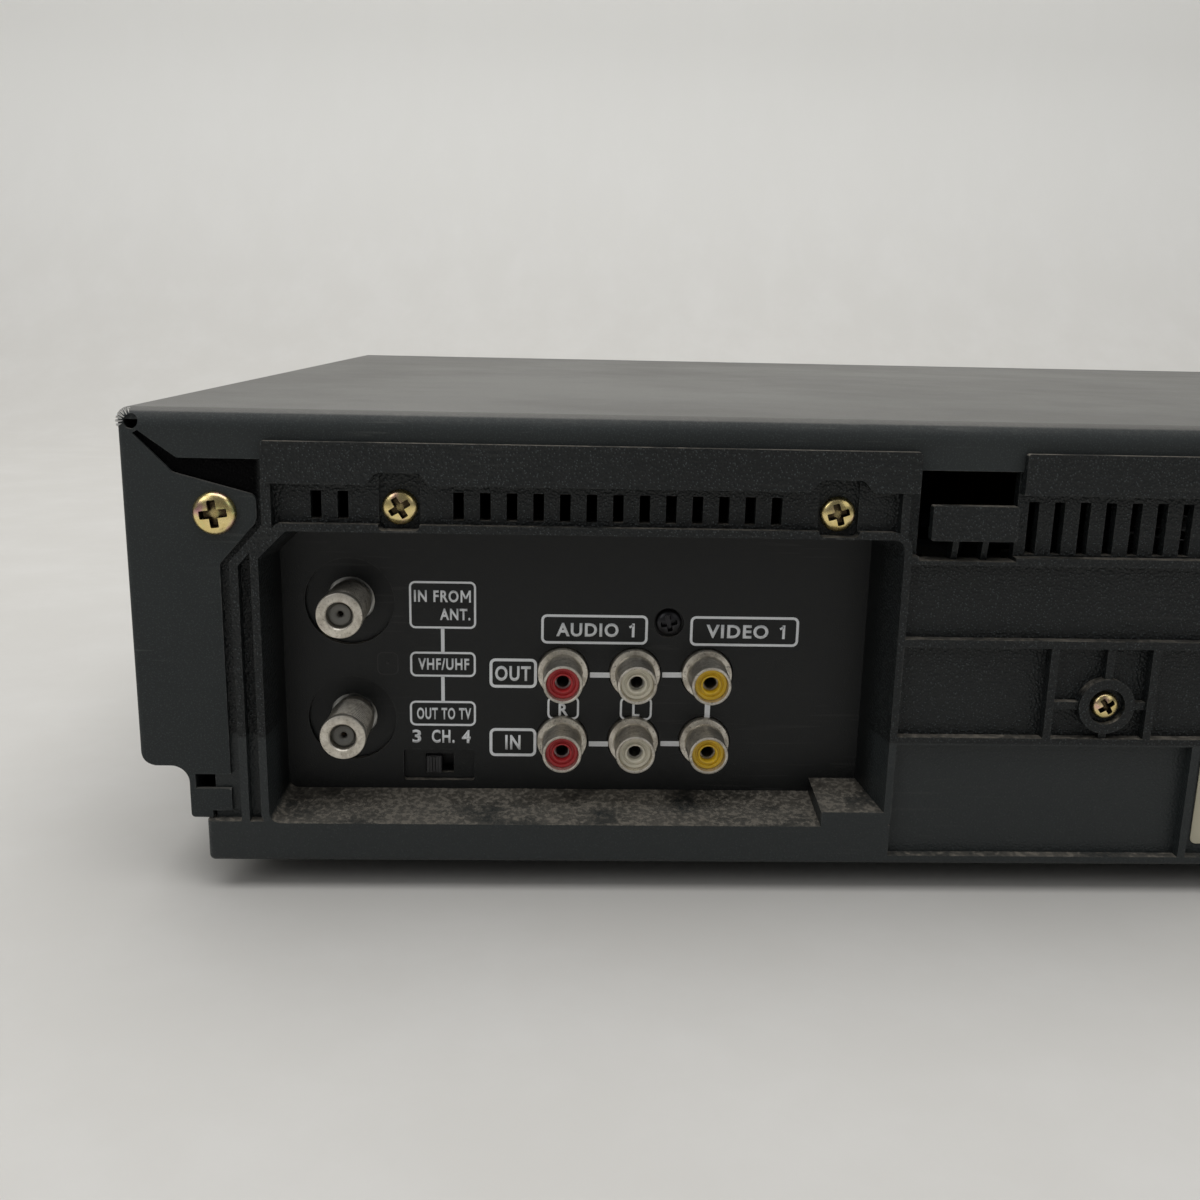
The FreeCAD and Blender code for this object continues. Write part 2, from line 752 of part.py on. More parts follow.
def panel_apron():
    """The lowest band of the moulding, wrapped under the body."""
    band = prism_y(
        [
            (-APRON_HALF_WIDTH, BASE_Z, APRON_RADIUS),
            (APRON_HALF_WIDTH, BASE_Z, APRON_RADIUS),
            (APRON_HALF_WIDTH, BASE_Z + SKIRT_GAP - FIT_GAP),
            (-APRON_HALF_WIDTH, BASE_Z + SKIRT_GAP - FIT_GAP),
        ],
        PANEL_IN,
        RIM_Y,
    )
    low_edges = [e for e in band.Edges if edge_lies(e, y=RIM_Y, z=BASE_Z)]
    band = band.makeFillet(APRON_RADIUS, low_edges)
    return cut(band, [box(BAY_LEFT, BAY_RIGHT, BAY_Y, RIM_Y + 1, BASE_Z + APRON_RADIUS + 0.8, TOP_Z)])


def flange_rib():
    """The thin rib beside the cover's flange, which turns in below its ear."""
    low = BASE_Z + RECESS_LOW - 1
    left = HALF_W - FLANGE_REACH - 2.2
    ear = HALF_W - EAR_REACH - 1.2
    bend = TOP_Z - EAR_FOOT_DROP + 0.7
    rise = TOP_Z - EAR_LOW_DROP - 0.6
    top = BASE_Z + HOOD_LOW + 0.5
    return prism_y(
        [
            (left, low),
            (left, bend),
            (ear, rise),
            (ear, top),
            (ear - RIB, top),
            (ear - RIB, rise - RIB / 2),
            (left - RIB, bend - RIB / 2),
            (left - RIB, low),
        ],
        BAY_Y - 0.5,
        RIM_Y,
    )


def bay_ribs():
    """Ribs and posts of the bays beside the terminals."""
    shapes = []
    for height in BAY_RIBS:
        z = BASE_Z + height
        end = BAY_RIGHT + (3.6 if height == BAY_RIBS[0] else 0.4)
        shapes.append(box(BAY_LEFT, end, BAY_Y - 0.5, RIM_Y, z - RIB / 2, z + RIB / 2))
    low = BASE_Z + BAY_RIBS[2]
    shapes.append(box(BAY_DIVIDER, BAY_DIVIDER + RIB, BAY_Y - 0.5, RIM_Y, BASE_Z + 1.5, low))
    for centre in (BOSS_X, BOSS_2_X):
        left = centre + BOSS_FRAME_LEFT - BOSS_X
        right = centre + BOSS_FRAME_RIGHT - BOSS_X
        for x in (left, right):
            shapes.append(box(x, x + RIB, BAY_Y - 0.5, RIM_Y, low, BASE_Z + BOSS_FRAME_TOP))
        for x0, x1 in ((right, centre - BOSS_RADIUS + 1), (centre + BOSS_RADIUS - 1, left + RIB)):
            z = BASE_Z + BOSS_Z
            shapes.append(box(x0, x1, BAY_Y - 0.5, RIM_Y - 0.6, z - RIB / 2, z + RIB / 2))
        for z0, z1 in ((BAY_RIBS[2], BOSS_Z - BOSS_RADIUS + 1), (BOSS_Z + BOSS_RADIUS - 1, BAY_RIBS[1])):
            shapes.append(box(centre - RIB / 2, centre + RIB / 2, BAY_Y - 0.5, RIM_Y - 0.6,
                              BASE_Z + z0, BASE_Z + z1))
        ring = rod(centre, BAY_Y - 0.5, BASE_Z + BOSS_Z, BOSS_RADIUS, RIM_Y - BAY_Y + 0.5, Y_AXIS)
        shapes.append(ring)
    return shapes


def boss_places():
    """Axes of the two screw bosses in the bays."""
    return [(x, BASE_Z + BOSS_Z) for x in (BOSS_X, BOSS_2_X)]


def latch_hook():
    """The spring hook between the hoods, on two gussets."""
    low = BASE_Z + LATCH_LOW
    hook = prism_y(pad(LATCH_LEFT, LATCH_RIGHT, low, BASE_Z + LATCH_TOP, 0.5), REAR_Y - 2.2, REAR_Y)
    arm = box(LATCH_LEFT - 0.8, LATCH_RIGHT + 0.8, PANEL_IN, REAR_Y - 1.5, low, low + 1.8)
    gussets = []
    for x in (LATCH_LEFT - 5.0, LATCH_LEFT - 11.0):
        gussets.append(prism_x(
            [
                (PANEL_IN, BASE_Z + NOTCH_LOW - 2),
                (BAY_Y, BASE_Z + NOTCH_LOW - 1),
                (REAR_Y - 1.5, low + 0.5),
                (PANEL_IN, low + 0.5),
            ],
            x - 1.2,
            x,
        ))
    return [hook, arm] + gussets


def inlet_opening():
    """Outline of the mains inlet's hole, rounded at both ends like its plug."""
    z = BASE_Z + INLET_Z
    half, high = INLET_WIDTH / 2, INLET_HEIGHT / 2
    return pad(INLET_X - half, INLET_X + half, z - high, z + high, high - 2.5)


def rear_panel():
    """The moulded rear: plate, apron, hoods, vents, terminal recess, ribs and latch."""
    solid = [panel_plate(), panel_apron(), recess_shell()] + counterbore_seats()
    solid += [hood(HOOD_1_LEFT, HOOD_1_RIGHT, (SCREW_1_X, SCREW_2_X))]
    solid += [hood(HOOD_2_LEFT, HOOD_2_RIGHT, ())]
    solid += [flange_rib(), mirrored(flange_rib())]
    solid += bay_ribs()
    frame_left, frame_right = HOOD_1_LEFT, HOOD_1_RIGHT + 1.6
    strip_low = BASE_Z + RECESS_TOP
    solid.append(box(frame_left - RIB, frame_left, BAY_Y - 0.5, RIM_Y, strip_low, BASE_Z + HOOD_LOW + 1))
    solid.append(box(frame_right, frame_right + RIB, BAY_Y - 0.5, RIM_Y, strip_low, BASE_Z + HOOD_LOW + 1))
    body = join(solid)
    notch = box(NOTCH_LEFT, NOTCH_RIGHT, PANEL_IN - 1, REAR_Y + 1, BASE_Z + NOTCH_LOW, TOP_Z)
    tools = [recess_pocket(), notch, screw_pocket(SCREW_1_X), screw_pocket(SCREW_2_X)]
    tools += terminal_holes()
    tools += slots(VENT_PAIR_START, VENT_PAIR_COUNT, VENT_LOW, VENT_TOP, PANEL_IN - 1, REAR_Y + 1)
    tools += slots(VENT_1_START, VENT_1_COUNT, VENT_LOW, VENT_TOP, PANEL_IN - 1, REAR_Y + 1)
    tools += slots(VENT_2_START, VENT_2_COUNT, VENT_2_LOW, VENT_TOP, PANEL_IN - 1, REAR_Y + 1)
    for x, z in boss_places():
        tools.append(rod(x, BAY_Y + 0.6, z, BOSS_BORE, 4, Y_AXIS))
        tools.append(rod(x, PANEL_IN - 1, z, SCREW_SHANK / 2 + SEAT_GAP, 4, Y_AXIS))
    for x in (SCREW_1_X, SCREW_2_X):
        tools.append(rod(x, PANEL_IN - 1, BASE_Z + PANEL_SCREW_Z, SCREW_SHANK / 2 + SEAT_GAP, 4, Y_AXIS))
    for x in (COVER_SCREW_X, -COVER_SCREW_X):
        tools.append(rod(x, COVER_REAR - SCREW_LENGTH - FIT_GAP, BASE_Z + COVER_SCREW_Z,
                         SCREW_SHANK / 2 + SEAT_GAP, SCREW_LENGTH + FIT_GAP, Y_AXIS))
    tools.append(prism_y(inlet_opening(), PANEL_IN - 1, REAR_Y))
    body = cut(body, tools)
    return join([body] + latch_hook())


# Front

def bezel_section(inset):
    """Side view of the bezel: an upright lower half and an upper half that leans back."""
    face = FRONT_Y + inset
    back = COVER_FRONT
    low = BASE_Z + inset
    top = TOP_Z - inset
    round_off = max(BEZEL_ROUND - inset, 0.4)
    return [
        (face, low, round_off),
        (face, BASE_Z + BEZEL_BREAK, 8.0),
        (face + BEZEL_RAKE, top, round_off),
        (back, top),
        (back, low),
    ]


def front_face_y(z):
    """Y of the bezel's face at a height."""
    rise = max(0.0, z - BASE_Z - BEZEL_BREAK)
    return FRONT_Y + BEZEL_RAKE * rise / (BODY_HEIGHT - BEZEL_BREAK)


def all_buttons():
    """The push buttons by name, each as (x, z above the underside, width, height)."""
    return {
        "power_button": POWER_BUTTON,
        "eject_button": EJECT_BUTTON,
        "play_button": PLAY_BUTTON,
        "stop_button": STOP_BUTTON,
        "rewind_button": REWIND_BUTTON,
        "forward_button": FORWARD_BUTTON,
        "pause_button": PAUSE_BUTTON,
        "record_button": RECORD_BUTTON,
    }


def button_pad(x, height, wide, tall, grow):
    """Outline of a button, or of its hole when grown by a gap."""
    z = BASE_Z + height
    half, high = wide / 2 + grow, tall / 2 + grow
    return pad(x - half, x + half, z - high, z + high, BUTTON_ROUND + grow)


def push_button(place):
    """A moulded button: domed cap through the bezel and a flange behind it."""
    x, height, wide, tall = place
    face = front_face_y(BASE_Z + height - tall / 2) - BUTTON_STAND + BEZEL_GROOVE
    back = COVER_FRONT - 2.5
    cap = prism_y(button_pad(x, height, wide, tall, 0), face, back)
    rim = [e for e in cap.Edges if abs(e.BoundBox.YMax - face) < 0.01]
    cap = cap.makeFillet(0.7, rim)
    flange_y = flange_front()
    flange = prism_y(button_pad(x, height, wide, tall, BUTTON_SKIRT), flange_y, flange_y + 1.2)
    return join([cap, flange])


def flange_front():
    """Y of the front of every button's flange, clear of the bezel's wall."""
    return FRONT_Y + BEZEL_RAKE + BEZEL_WALL + 0.8


def rocker():
    """Channel rocker: one cap that tips about its middle."""
    half, high = ROCKER_WIDTH / 2, ROCKER_HEIGHT / 2
    z = BASE_Z + ROCKER_Z
    face = FRONT_Y + BEZEL_GROOVE - BUTTON_STAND
    cap = prism_y(pad(ROCKER_X - half, ROCKER_X + half, z - high, z + high, 2.0), face, rocker_axis() + 1.5)
    rim = [e for e in cap.Edges if abs(e.BoundBox.YMax - face) < 0.01]
    cap = cap.makeFillet(0.8, rim)
    dip = rod(ROCKER_X - half - 1, face - 60.0 + 0.7, z, 60.0, ROCKER_WIDTH + 2, X_AXIS)
    cap = cut(cap, [dip])
    pin = rod(ROCKER_X - half - 2.5, rocker_axis(), z, 1.2, ROCKER_WIDTH + 5, X_AXIS)
    return join([cap, pin])


def rocker_axis():
    """Y of the rocker's pin."""
    return FRONT_Y + BEZEL_WALL + 4.5


def front_panel():
    """The bezel: a moulded shell with a cassette slot, a window seat and button holes."""
    shell = prism_x(bezel_section(0.0), -HALF_W, HALF_W)
    ends = [e for e in shell.Edges if abs(e.BoundBox.XLength) < 0.01 and edge_in_front(e)]
    shell = shell.makeFillet(BEZEL_ROUND * 0.6, ends)
    inside = prism_x(bezel_section(BEZEL_WALL), -HALF_W + BEZEL_WALL, HALF_W - BEZEL_WALL)
    tools = [inside.fuse(box(-HALF_W + BEZEL_WALL, HALF_W - BEZEL_WALL, COVER_FRONT - 1,
                             COVER_FRONT + 1, BASE_Z + BEZEL_WALL, TOP_Z - BEZEL_WALL))]
    tools.append(box(DECK_X - SLOT_HALF, DECK_X + SLOT_HALF, FRONT_Y - 1, COVER_FRONT,
                     BASE_Z + SLOT_LOW, BASE_Z + SLOT_TOP))
    dish = pad(DECK_X - WINDOW_HALF, DECK_X + WINDOW_HALF, BASE_Z + WINDOW_LOW, BASE_Z + WINDOW_TOP, 2.5)
    tools.append(prism_y(dish, FRONT_Y - 1, FRONT_Y + WINDOW_DISH))
    opening = pad(DECK_X - WINDOW_HALF + 3, DECK_X + WINDOW_HALF - 3,
                  BASE_Z + WINDOW_LOW + 3, BASE_Z + WINDOW_TOP - 3, 2.0)
    tools.append(prism_y(opening, FRONT_Y, FRONT_Y + BEZEL_WALL + 1))
    for x, height, wide, tall in all_buttons().values():
        tools.append(prism_y(button_pad(x, height, wide, tall, BUTTON_GAP), FRONT_Y - 1, FRONT_Y + 8))
    half, high = ROCKER_WIDTH / 2 + 0.6, ROCKER_HEIGHT / 2 + 0.6
    z = BASE_Z + ROCKER_Z
    tools.append(prism_y(pad(ROCKER_X - half, ROCKER_X + half, z - high, z + high, 2.4),
                         FRONT_Y - 1, FRONT_Y + 8))
    line = BASE_Z + WINDOW_LOW - 7.0
    tools.append(box(-HALF_W - 1, HALF_W + 1, FRONT_Y - 1, FRONT_Y + 0.8, line - 0.5, line + 0.5))
    for x, z in front_jack_places():
        tools.append(rod(x, FRONT_Y - 1, z, FRONT_JACK_DISH, 1.6, Y_AXIS))
        tools.append(rod(x, FRONT_Y - 1, z, RCA_COLLAR + FIT_GAP, 6, Y_AXIS))
    body = cut(shell, tools)
    ears = []
    for x in (DECK_X - SLOT_HALF - 2.4, DECK_X + SLOT_HALF + 0.4):
        ears.append(door_ear(x))
    for x in (ROCKER_X - ROCKER_WIDTH / 2 - 3.2, ROCKER_X + ROCKER_WIDTH / 2 + 1.2):
        ears.append(rocker_ear(x))
    return cut(join([body] + ears), door_pin_holes())


def edge_in_front(edge):
    """Whether an edge lies on the bezel's front, not on its rear rim."""
    return edge.BoundBox.YMax < COVER_FRONT - 2


def door_axis():
    """Y and Z of the cassette door's pins."""
    z = BASE_Z + SLOT_TOP - DOOR_THICK - FIT_GAP
    return front_face_y(z) + DOOR_THICK + 0.4, z


def door_ear(x):
    """A bearing ear of the bezel for one pin of the cassette door."""
    y, z = door_axis()
    front = front_face_y(z) + BEZEL_WALL - 0.5
    return box(x, x + 2.0, front, y + 4.0, z - 3.5, TOP_Z - BEZEL_WALL + 0.5)


def door_pin_holes():
    """Holes for the door's pins, through the ears and into the bezel's wall."""
    y, z = door_axis()
    return [rod(x, y, z, DOOR_PIN + SHAFT_FIT, 4, X_AXIS)
            for x in (DECK_X - SLOT_HALF - 3, DECK_X + SLOT_HALF - 1)]


def rocker_ear(x):
    """A bearing ear of the bezel for one end of the rocker's pin."""
    z = BASE_Z + ROCKER_Z
    plate = box(x, x + 2.0, FRONT_Y + BEZEL_WALL - 0.5, rocker_axis() + 3.0, z - 3.5, z + 3.5)
    return cut(plate, [rod(x - 1, rocker_axis(), z, 1.2 + SHAFT_FIT, 4, X_AXIS)])


def cassette_door():
    """The slot's flap: a leaning plate hung on two pins at its top."""
    y, z = door_axis()
    low = BASE_Z + SLOT_LOW + BUTTON_GAP
    high = z + 1.0
    left = DECK_X - SLOT_HALF + BUTTON_GAP
    right = DECK_X + SLOT_HALF - BUTTON_GAP
    plate = prism_x(
        [
            (front_face_y(low) + 0.4, low, 0.6),
            (front_face_y(high) + 0.4, high, 0.9),
            (front_face_y(high) + 0.4 + DOOR_THICK, high, 0.9),
            (front_face_y(low) + 0.4 + DOOR_THICK, low, 0.6),
        ],
        left,
        right,
    )
    shapes = [plate]
    for x0, x1 in ((left, left + 6), (right - 6, right)):
        shapes.append(rod(x0, y, z, DOOR_KNUCKLE * 0.6, x1 - x0, X_AXIS))
    shapes.append(rod(left - 2.4, y, z, DOOR_PIN, right - left + 4.8, X_AXIS))
    rib = BASE_Z + (SLOT_LOW + SLOT_TOP) / 2
    for x in (left + 30, DECK_X, right - 30):
        shapes.append(box(x - 0.6, x + 0.6, front_face_y(rib) + 1.5, front_face_y(rib) + 3.0, low + 3, z - 3))
    coil = spring_radius() + SPRING_WIRE + FIT_GAP
    start = spring_start() - SPRING_WIRE - FIT_GAP
    long = SPRING_TURNS * spring_pitch() + 2 * (SPRING_WIRE + FIT_GAP)
    room = box(start, start + long, y - 4, y + 4, z - coil, z + 4)
    pin = rod(start - 1, y, z, DOOR_PIN, long + 2, X_AXIS)
    return join([cut(join(shapes), [room]), pin])


def spring_radius():
    """Middle radius of the door spring's coil."""
    return DOOR_PIN + FIT_GAP + SPRING_WIRE


def spring_pitch():
    """Pitch of the door spring's coil."""
    return SPRING_WIRE * 2.2


def spring_start():
    """X where the door spring's coil starts."""
    return DECK_X - SLOT_HALF + BUTTON_GAP + 8.0


def door_spring():
    """Torsion spring round the door's pin, shown by its coil."""
    y, z = door_axis()
    coil = Part.makeHelix(spring_pitch(), spring_pitch() * SPRING_TURNS, spring_radius())
    section = Part.Wire(Part.makeCircle(SPRING_WIRE, vec(spring_radius(), 0, 0), Y_AXIS))
    solid = Part.Wire(coil).makePipeShell([section], True, True)
    turn = FreeCAD.Rotation(Z_AXIS, X_AXIS)
    solid.Placement = FreeCAD.Placement(vec(spring_start(), y, z), turn)
    return solid


def display_window():
    """Smoked window set flush in the bezel, with a tongue through its opening."""
    gap = SEAT_GAP
    cover = pad(DECK_X - WINDOW_HALF + gap, DECK_X + WINDOW_HALF - gap,
                BASE_Z + WINDOW_LOW + gap, BASE_Z + WINDOW_TOP - gap, 2.4)
    face = prism_y(cover, FRONT_Y + 0.2, FRONT_Y + WINDOW_DISH)
    tongue = pad(DECK_X - WINDOW_HALF + 3 + gap, DECK_X + WINDOW_HALF - 3 - gap,
                 BASE_Z + WINDOW_LOW + 3 + gap, BASE_Z + WINDOW_TOP - 3 - gap, 1.9)
    return join([face, prism_y(tongue, FRONT_Y + WINDOW_DISH, FRONT_Y + WINDOW_DISH + WINDOW_THICK)])


def front_jack_places():
    """Axes of the front phono sockets."""
    z = BASE_Z + FRONT_JACK_Z
    return [(FRONT_JACK_X + index * FRONT_JACK_PITCH, z) for index in range(FRONT_JACK_COUNT)]


def front_board_y():
    """Y of the front of the board behind the buttons."""
    return COVER_FRONT - 2.5 + BUTTON_TRAVEL + 0.2


def front_board():
    """Circuit board behind the bezel with the display tube on it."""
    y = front_board_y()
    low, top = BASE_Z + TRAY_FLOOR + 3.0, BASE_Z + SLOT_LOW - 2.0
    right = APRON_HALF_WIDTH - TRAY_WALL - FIT_GAP
    board = box(-right, right, y, y + BOARD_THICK, low, top)
    wings = []
    for x0, x1 in ((-right, DECK_X - SLOT_HALF - 6), (DECK_X + SLOT_HALF + 6, right)):
        wings.append(box(x0, x1, y, y + BOARD_THICK, top, TOP_Z - 8.0))
    board = join([board] + wings)
    middle = BASE_Z + (WINDOW_LOW + WINDOW_TOP) / 2
    tube_front = FRONT_Y + WINDOW_DISH + WINDOW_THICK + 1.0
    tube = prism_y(pad(DECK_X - 55, DECK_X + 55, middle - 9, middle + 9, 1.0), tube_front, y)
    return group([board, tube])


def front_jacks(piece):
    """Sleeves or inner parts of the front phono sockets."""
    shapes = []
    for x, z in front_jack_places():
        shapes.append(piece(x, z, FRONT_Y + 0.6, front_board_y()))
    return group(shapes)


# Terminals

def rca_sleeve(x, z, face, seat):
    """Outer shell of a phono socket, with its collar; it faces +Y or -Y from its seat."""
    way = 1 if face > seat else -1
    length = abs(face - seat)
    profile = [
        (RCA_RADIUS - RCA_WALL, 0),
        (RCA_COLLAR, 0),
        (RCA_COLLAR, RCA_COLLAR_LENGTH + WALL, 0.3),
        (RCA_RADIUS, RCA_COLLAR_LENGTH + WALL),
        (RCA_RADIUS, length, 0.3),
        (RCA_RADIUS - RCA_WALL, length),
    ]
    return turned(profile, vec(x, seat, z), vec(0, way, 0))


def rca_insert(x, z, face, seat):
    """Coloured insulator of a phono socket, bored for the plug's pin."""
    way = 1 if face > seat else -1
    length = abs(face - seat) - 0.5
    profile = [
        (RCA_PIN_HOLE, 0.8),
        (RCA_RADIUS - RCA_WALL, 0.8),
        (RCA_RADIUS - RCA_WALL, length, 0.4),
        (RCA_PIN_HOLE, length, 0.3),
    ]
    return turned(profile, vec(x, seat, z), vec(0, way, 0))


def rca_column(piece, column):
    """One colour's pair of phono pieces."""
    return [piece(x, z, FLOOR_Y + RCA_LENGTH, FLOOR_IN) for x, z in rca_places(column)]


def rca_sleeves():
    shapes = []
    for column in range(3):
        shapes += rca_column(rca_sleeve, column)
    return group(shapes)


def jack_block():
    """Moulded body behind the floor that carries all the phono sockets."""
    low = BASE_Z + RCA_LOW - 7.0
    top = BASE_Z + RCA_LOW + RCA_PITCH_Z + 7.0
    left = RCA_X - 7.5
    right = RCA_X + 2 * RCA_PITCH_X + 7.5
    body = box(left, right, FLOOR_IN - 13, FLOOR_IN - SEAT_GAP, low, top)
    screw_z = BASE_Z + TERMINAL_SCREW_Z
    ear = box(TERMINAL_SCREW_X - 5, TERMINAL_SCREW_X + 5, FLOOR_IN - 10, FLOOR_IN - SEAT_GAP,
              top - 1, screw_z + 5)
    legs = box(left + 3, right - 3, FLOOR_IN - 12, FLOOR_IN - 2, BOARD_TOP, low + 1)
    hole = rod(TERMINAL_SCREW_X, FLOOR_IN - 8, screw_z, SCREW_SHANK / 2 + SEAT_GAP, 10, Y_AXIS)
    return cut(join([body, ear, legs]), [hole])


def rf_connector(x, z):
    """Threaded aerial socket: neck, barrel and a chamfered open end."""
    length = FLOOR_Y + RF_LENGTH - (FLOOR_IN - 1)
    profile = [
        (RF_BORE, 0),
        (RF_NECK, 0),
        (RF_NECK, WALL + 1 + RF_NECK_LENGTH - COUNTERBORE_DEPTH),
        (RF_RADIUS, WALL + 1.2 + RF_NECK_LENGTH - COUNTERBORE_DEPTH),
        (RF_RADIUS, length - 0.6),
        (RF_RADIUS - 0.5, length),
        (RF_BORE, length),
    ]
    return turned(profile, vec(x, FLOOR_IN - 1, z), Y_AXIS)


def rf_insulator(x, z):
    """Pale core of an aerial socket, with the hole for the centre wire."""
    length = FLOOR_Y + RF_LENGTH - (FLOOR_IN - 1) - 0.9
    profile = [(0.5, 0), (RF_BORE, 0), (RF_BORE, length, 0.3), (1.1, length), (0.5, length - 1.0)]
    return turned(profile, vec(x, FLOOR_IN - 1, z), Y_AXIS)


def tuner_can():
    """Screened can that the aerial sockets are crimped to."""
    face = FLOOR_IN - COUNTERBORE_DEPTH - FIT_GAP
    front = face - CAN_DEPTH
    low = BOARD_TOP
    can = box(CAN_X - CAN_WIDTH / 2, CAN_X + CAN_WIDTH / 2, front, face, low, low + CAN_HEIGHT)
    sides = [e for e in can.Edges if abs(e.BoundBox.ZLength - CAN_HEIGHT) < 0.01]
    can = can.makeFillet(1.0, sides)
    bushes = []
    holes = []
    for x, z in rf_places():
        bushes.append(rod(x, face - 0.5, z, RF_NECK + 0.6, FLOOR_IN - 1 - face + 0.5, Y_AXIS))
        holes.append(rod(x, face - 6, z, 0.5, 12, Y_AXIS))
    return cut(join([can] + bushes), holes)


def channel_switch_body():
    """Slide switch body behind the floor, with the channel that its knob runs in."""
    z = BASE_Z + SWITCH_Z
    wide, tall = SWITCH_WIDTH + 5, SWITCH_HEIGHT + 3
    body = box(SWITCH_X - wide / 2, SWITCH_X + wide / 2, FLOOR_IN - 6, FLOOR_IN - SEAT_GAP,
               z - tall / 2, z + tall / 2)
    leg = box(SWITCH_X - 3, SWITCH_X + 3, FLOOR_IN - 5, FLOOR_IN - 3, BOARD_TOP, z - tall / 2 + 0.5)
    half, high = SWITCH_WIDTH / 2, SWITCH_HEIGHT / 2
    channel = box(SWITCH_X - half, SWITCH_X + half, FLOOR_IN - 4, FLOOR_IN + 1, z - high, z + high)
    return cut(join([body, leg]), [channel])


def channel_switch_knob():
    """The sliding knob, at the end of its travel nearer the aerial sockets."""
    z = BASE_Z + SWITCH_Z
    right = SWITCH_X + SWITCH_WIDTH / 2 - FIT_GAP
    high = SWITCH_HEIGHT / 2 - FIT_GAP
    knob = box(right - SWITCH_KNOB, right, FLOOR_IN - 3.7, FLOOR_Y - 0.2, z - high, z + high)
    grip = box(right - SWITCH_KNOB + 1.0, right - 1.0, FLOOR_Y - 0.6, FLOOR_Y + 1, z - high - 1, z + high + 1)
    return cut(knob, [grip])


def mains_inlet():
    """Two-pin mains inlet, flanged behind the panel."""
    z = BASE_Z + INLET_Z
    half, high = INLET_WIDTH / 2, INLET_HEIGHT / 2
    shell = prism_y(pad(INLET_X - half + FIT_GAP, INLET_X + half - FIT_GAP, z - high + FIT_GAP,
                        z + high - FIT_GAP, high - 2.8), PANEL_IN - INLET_DEPTH, BAY_Y + 0.8)
    flange = box(INLET_X - half - 2, INLET_X + half + 2, PANEL_IN - 3, PANEL_IN - SEAT_GAP,
                 z - high - 1.5, z + high + 1.5)
    mouth = prism_y(pad(INLET_X - half + 2.2, INLET_X + half - 2.2, z - high + 2.2, z + high - 2.2, 3.2),
                    PANEL_IN - INLET_DEPTH + 5, BAY_Y + 2)
    body = cut(join([shell, flange]), [mouth])
    legs = box(INLET_X - half + 2, INLET_X + half - 2, PANEL_IN - INLET_DEPTH + 2, PANEL_IN - 6,
               BOARD_TOP, z - high + FIT_GAP + 0.5)
    pins = []
    for x in (INLET_X - INLET_PIN_PITCH / 2, INLET_X + INLET_PIN_PITCH / 2):
        pins.append(rod(x, PANEL_IN - INLET_DEPTH + 4.5, z, INLET_PIN, INLET_DEPTH - 6.5, Y_AXIS))
    return join([body, legs] + pins)


# Chassis, feet and boards

def foot_places():
    """Middles of the four feet."""
    x, y = HALF_W - FOOT_INSET_X, DEPTH / 2 - FOOT_INSET_Y
    return [(-x, -y), (x, -y), (x, y), (-x, y)]


def deck_posts():
    """Pillars of the tray that carry the deck plate, by their middles."""
    x = DECK_HALF - 9.0
    return [(DECK_X - x, deck_front() + 9), (DECK_X + x, deck_front() + 9),
            (DECK_X + x, deck_rear() - 9), (DECK_X - x, deck_rear() - 9)]


def board_posts():
    """Short posts of the tray that carry the two lower boards."""
    left = -APRON_HALF_WIDTH + BOARD_MARGIN + 6
    right = APRON_HALF_WIDTH - BOARD_MARGIN - 6
    split = BOARD_SPLIT + BOARD_GAP + 6
    front, rear = board_front() + 6, board_rear() - 6
    return [(left, front + 60), (left, rear), (split, front), (split, rear), (right, front), (right, rear)]


def board_front():
    """Y of the front edge of the main board."""
    return COVER_FRONT + 14.0


def board_rear():
    """Y of the rear edge of the boards, in front of the recess's floor."""
    return FLOOR_IN - 1.0


def evenly(middle, reach, pitch):
    """Places at a pitch to both sides of a middle, short of a reach."""
    count = int(reach / pitch)
    return [middle + index * pitch for index in range(-count, count + 1)]


def chassis_tray():
    """Moulded bottom: floor, low side walls, stiffening ribs, posts and pillars."""
    half = APRON_HALF_WIDTH
    low, top = BASE_Z, BASE_Z + TRAY_FLOOR
    wall_top = SKIRT_Z - FIT_GAP
    shapes = [box(-half, half, COVER_FRONT, PANEL_IN, low, top)]
    for x in (-half, half - TRAY_WALL):
        shapes.append(box(x, x + TRAY_WALL, COVER_FRONT, PANEL_IN, low, wall_top))
    for x in evenly(0, half - TRAY_RIB_PITCH_X / 2, TRAY_RIB_PITCH_X):
        shapes.append(box(x - TRAY_RIB / 2, x + TRAY_RIB / 2, COVER_FRONT + 4, PANEL_IN - 4,
                          top - 0.5, top + TRAY_RIB_HEIGHT))
    for y in evenly(TRAY_RIB_Y, PANEL_IN - TRAY_RIB_Y, TRAY_RIB_PITCH_Y):
        shapes.append(box(-half + 1, half - 1, y - TRAY_RIB / 2, y + TRAY_RIB / 2,
                          top - 0.5, top + TRAY_RIB_HEIGHT))
    for x, y in board_posts():
        shapes.append(rod(x, y, top - 0.5, POST_RADIUS, BOARD_Z - top + 0.5))
    for x, y in deck_posts():
        shapes.append(turned([(0, 0), (POST_RADIUS + 2.5, 0), (POST_RADIUS + 0.5, DECK_LOW - top + 0.5),
                              (0, DECK_LOW - top + 0.5)], vec(x, y, top - 0.5)))
    tools = []
    for x, y in foot_places():
        tools.append(rod(x, y, low - 1, FOOT_PLUG_RADIUS + SEAT_GAP, TRAY_FLOOR + TRAY_RIB_HEIGHT + 4))
    for x, y in board_posts():
        tools.append(rod(x, y, top + 0.5, SCREW_SHANK / 2 - 0.3, 20))
    for index in range(14):
        x = -190 + index * 3.6
        tools.append(box(x, x + 1.8, 20, 62, low - 1, top + TRAY_RIB_HEIGHT + 1))
    return cut(join(shapes), tools)


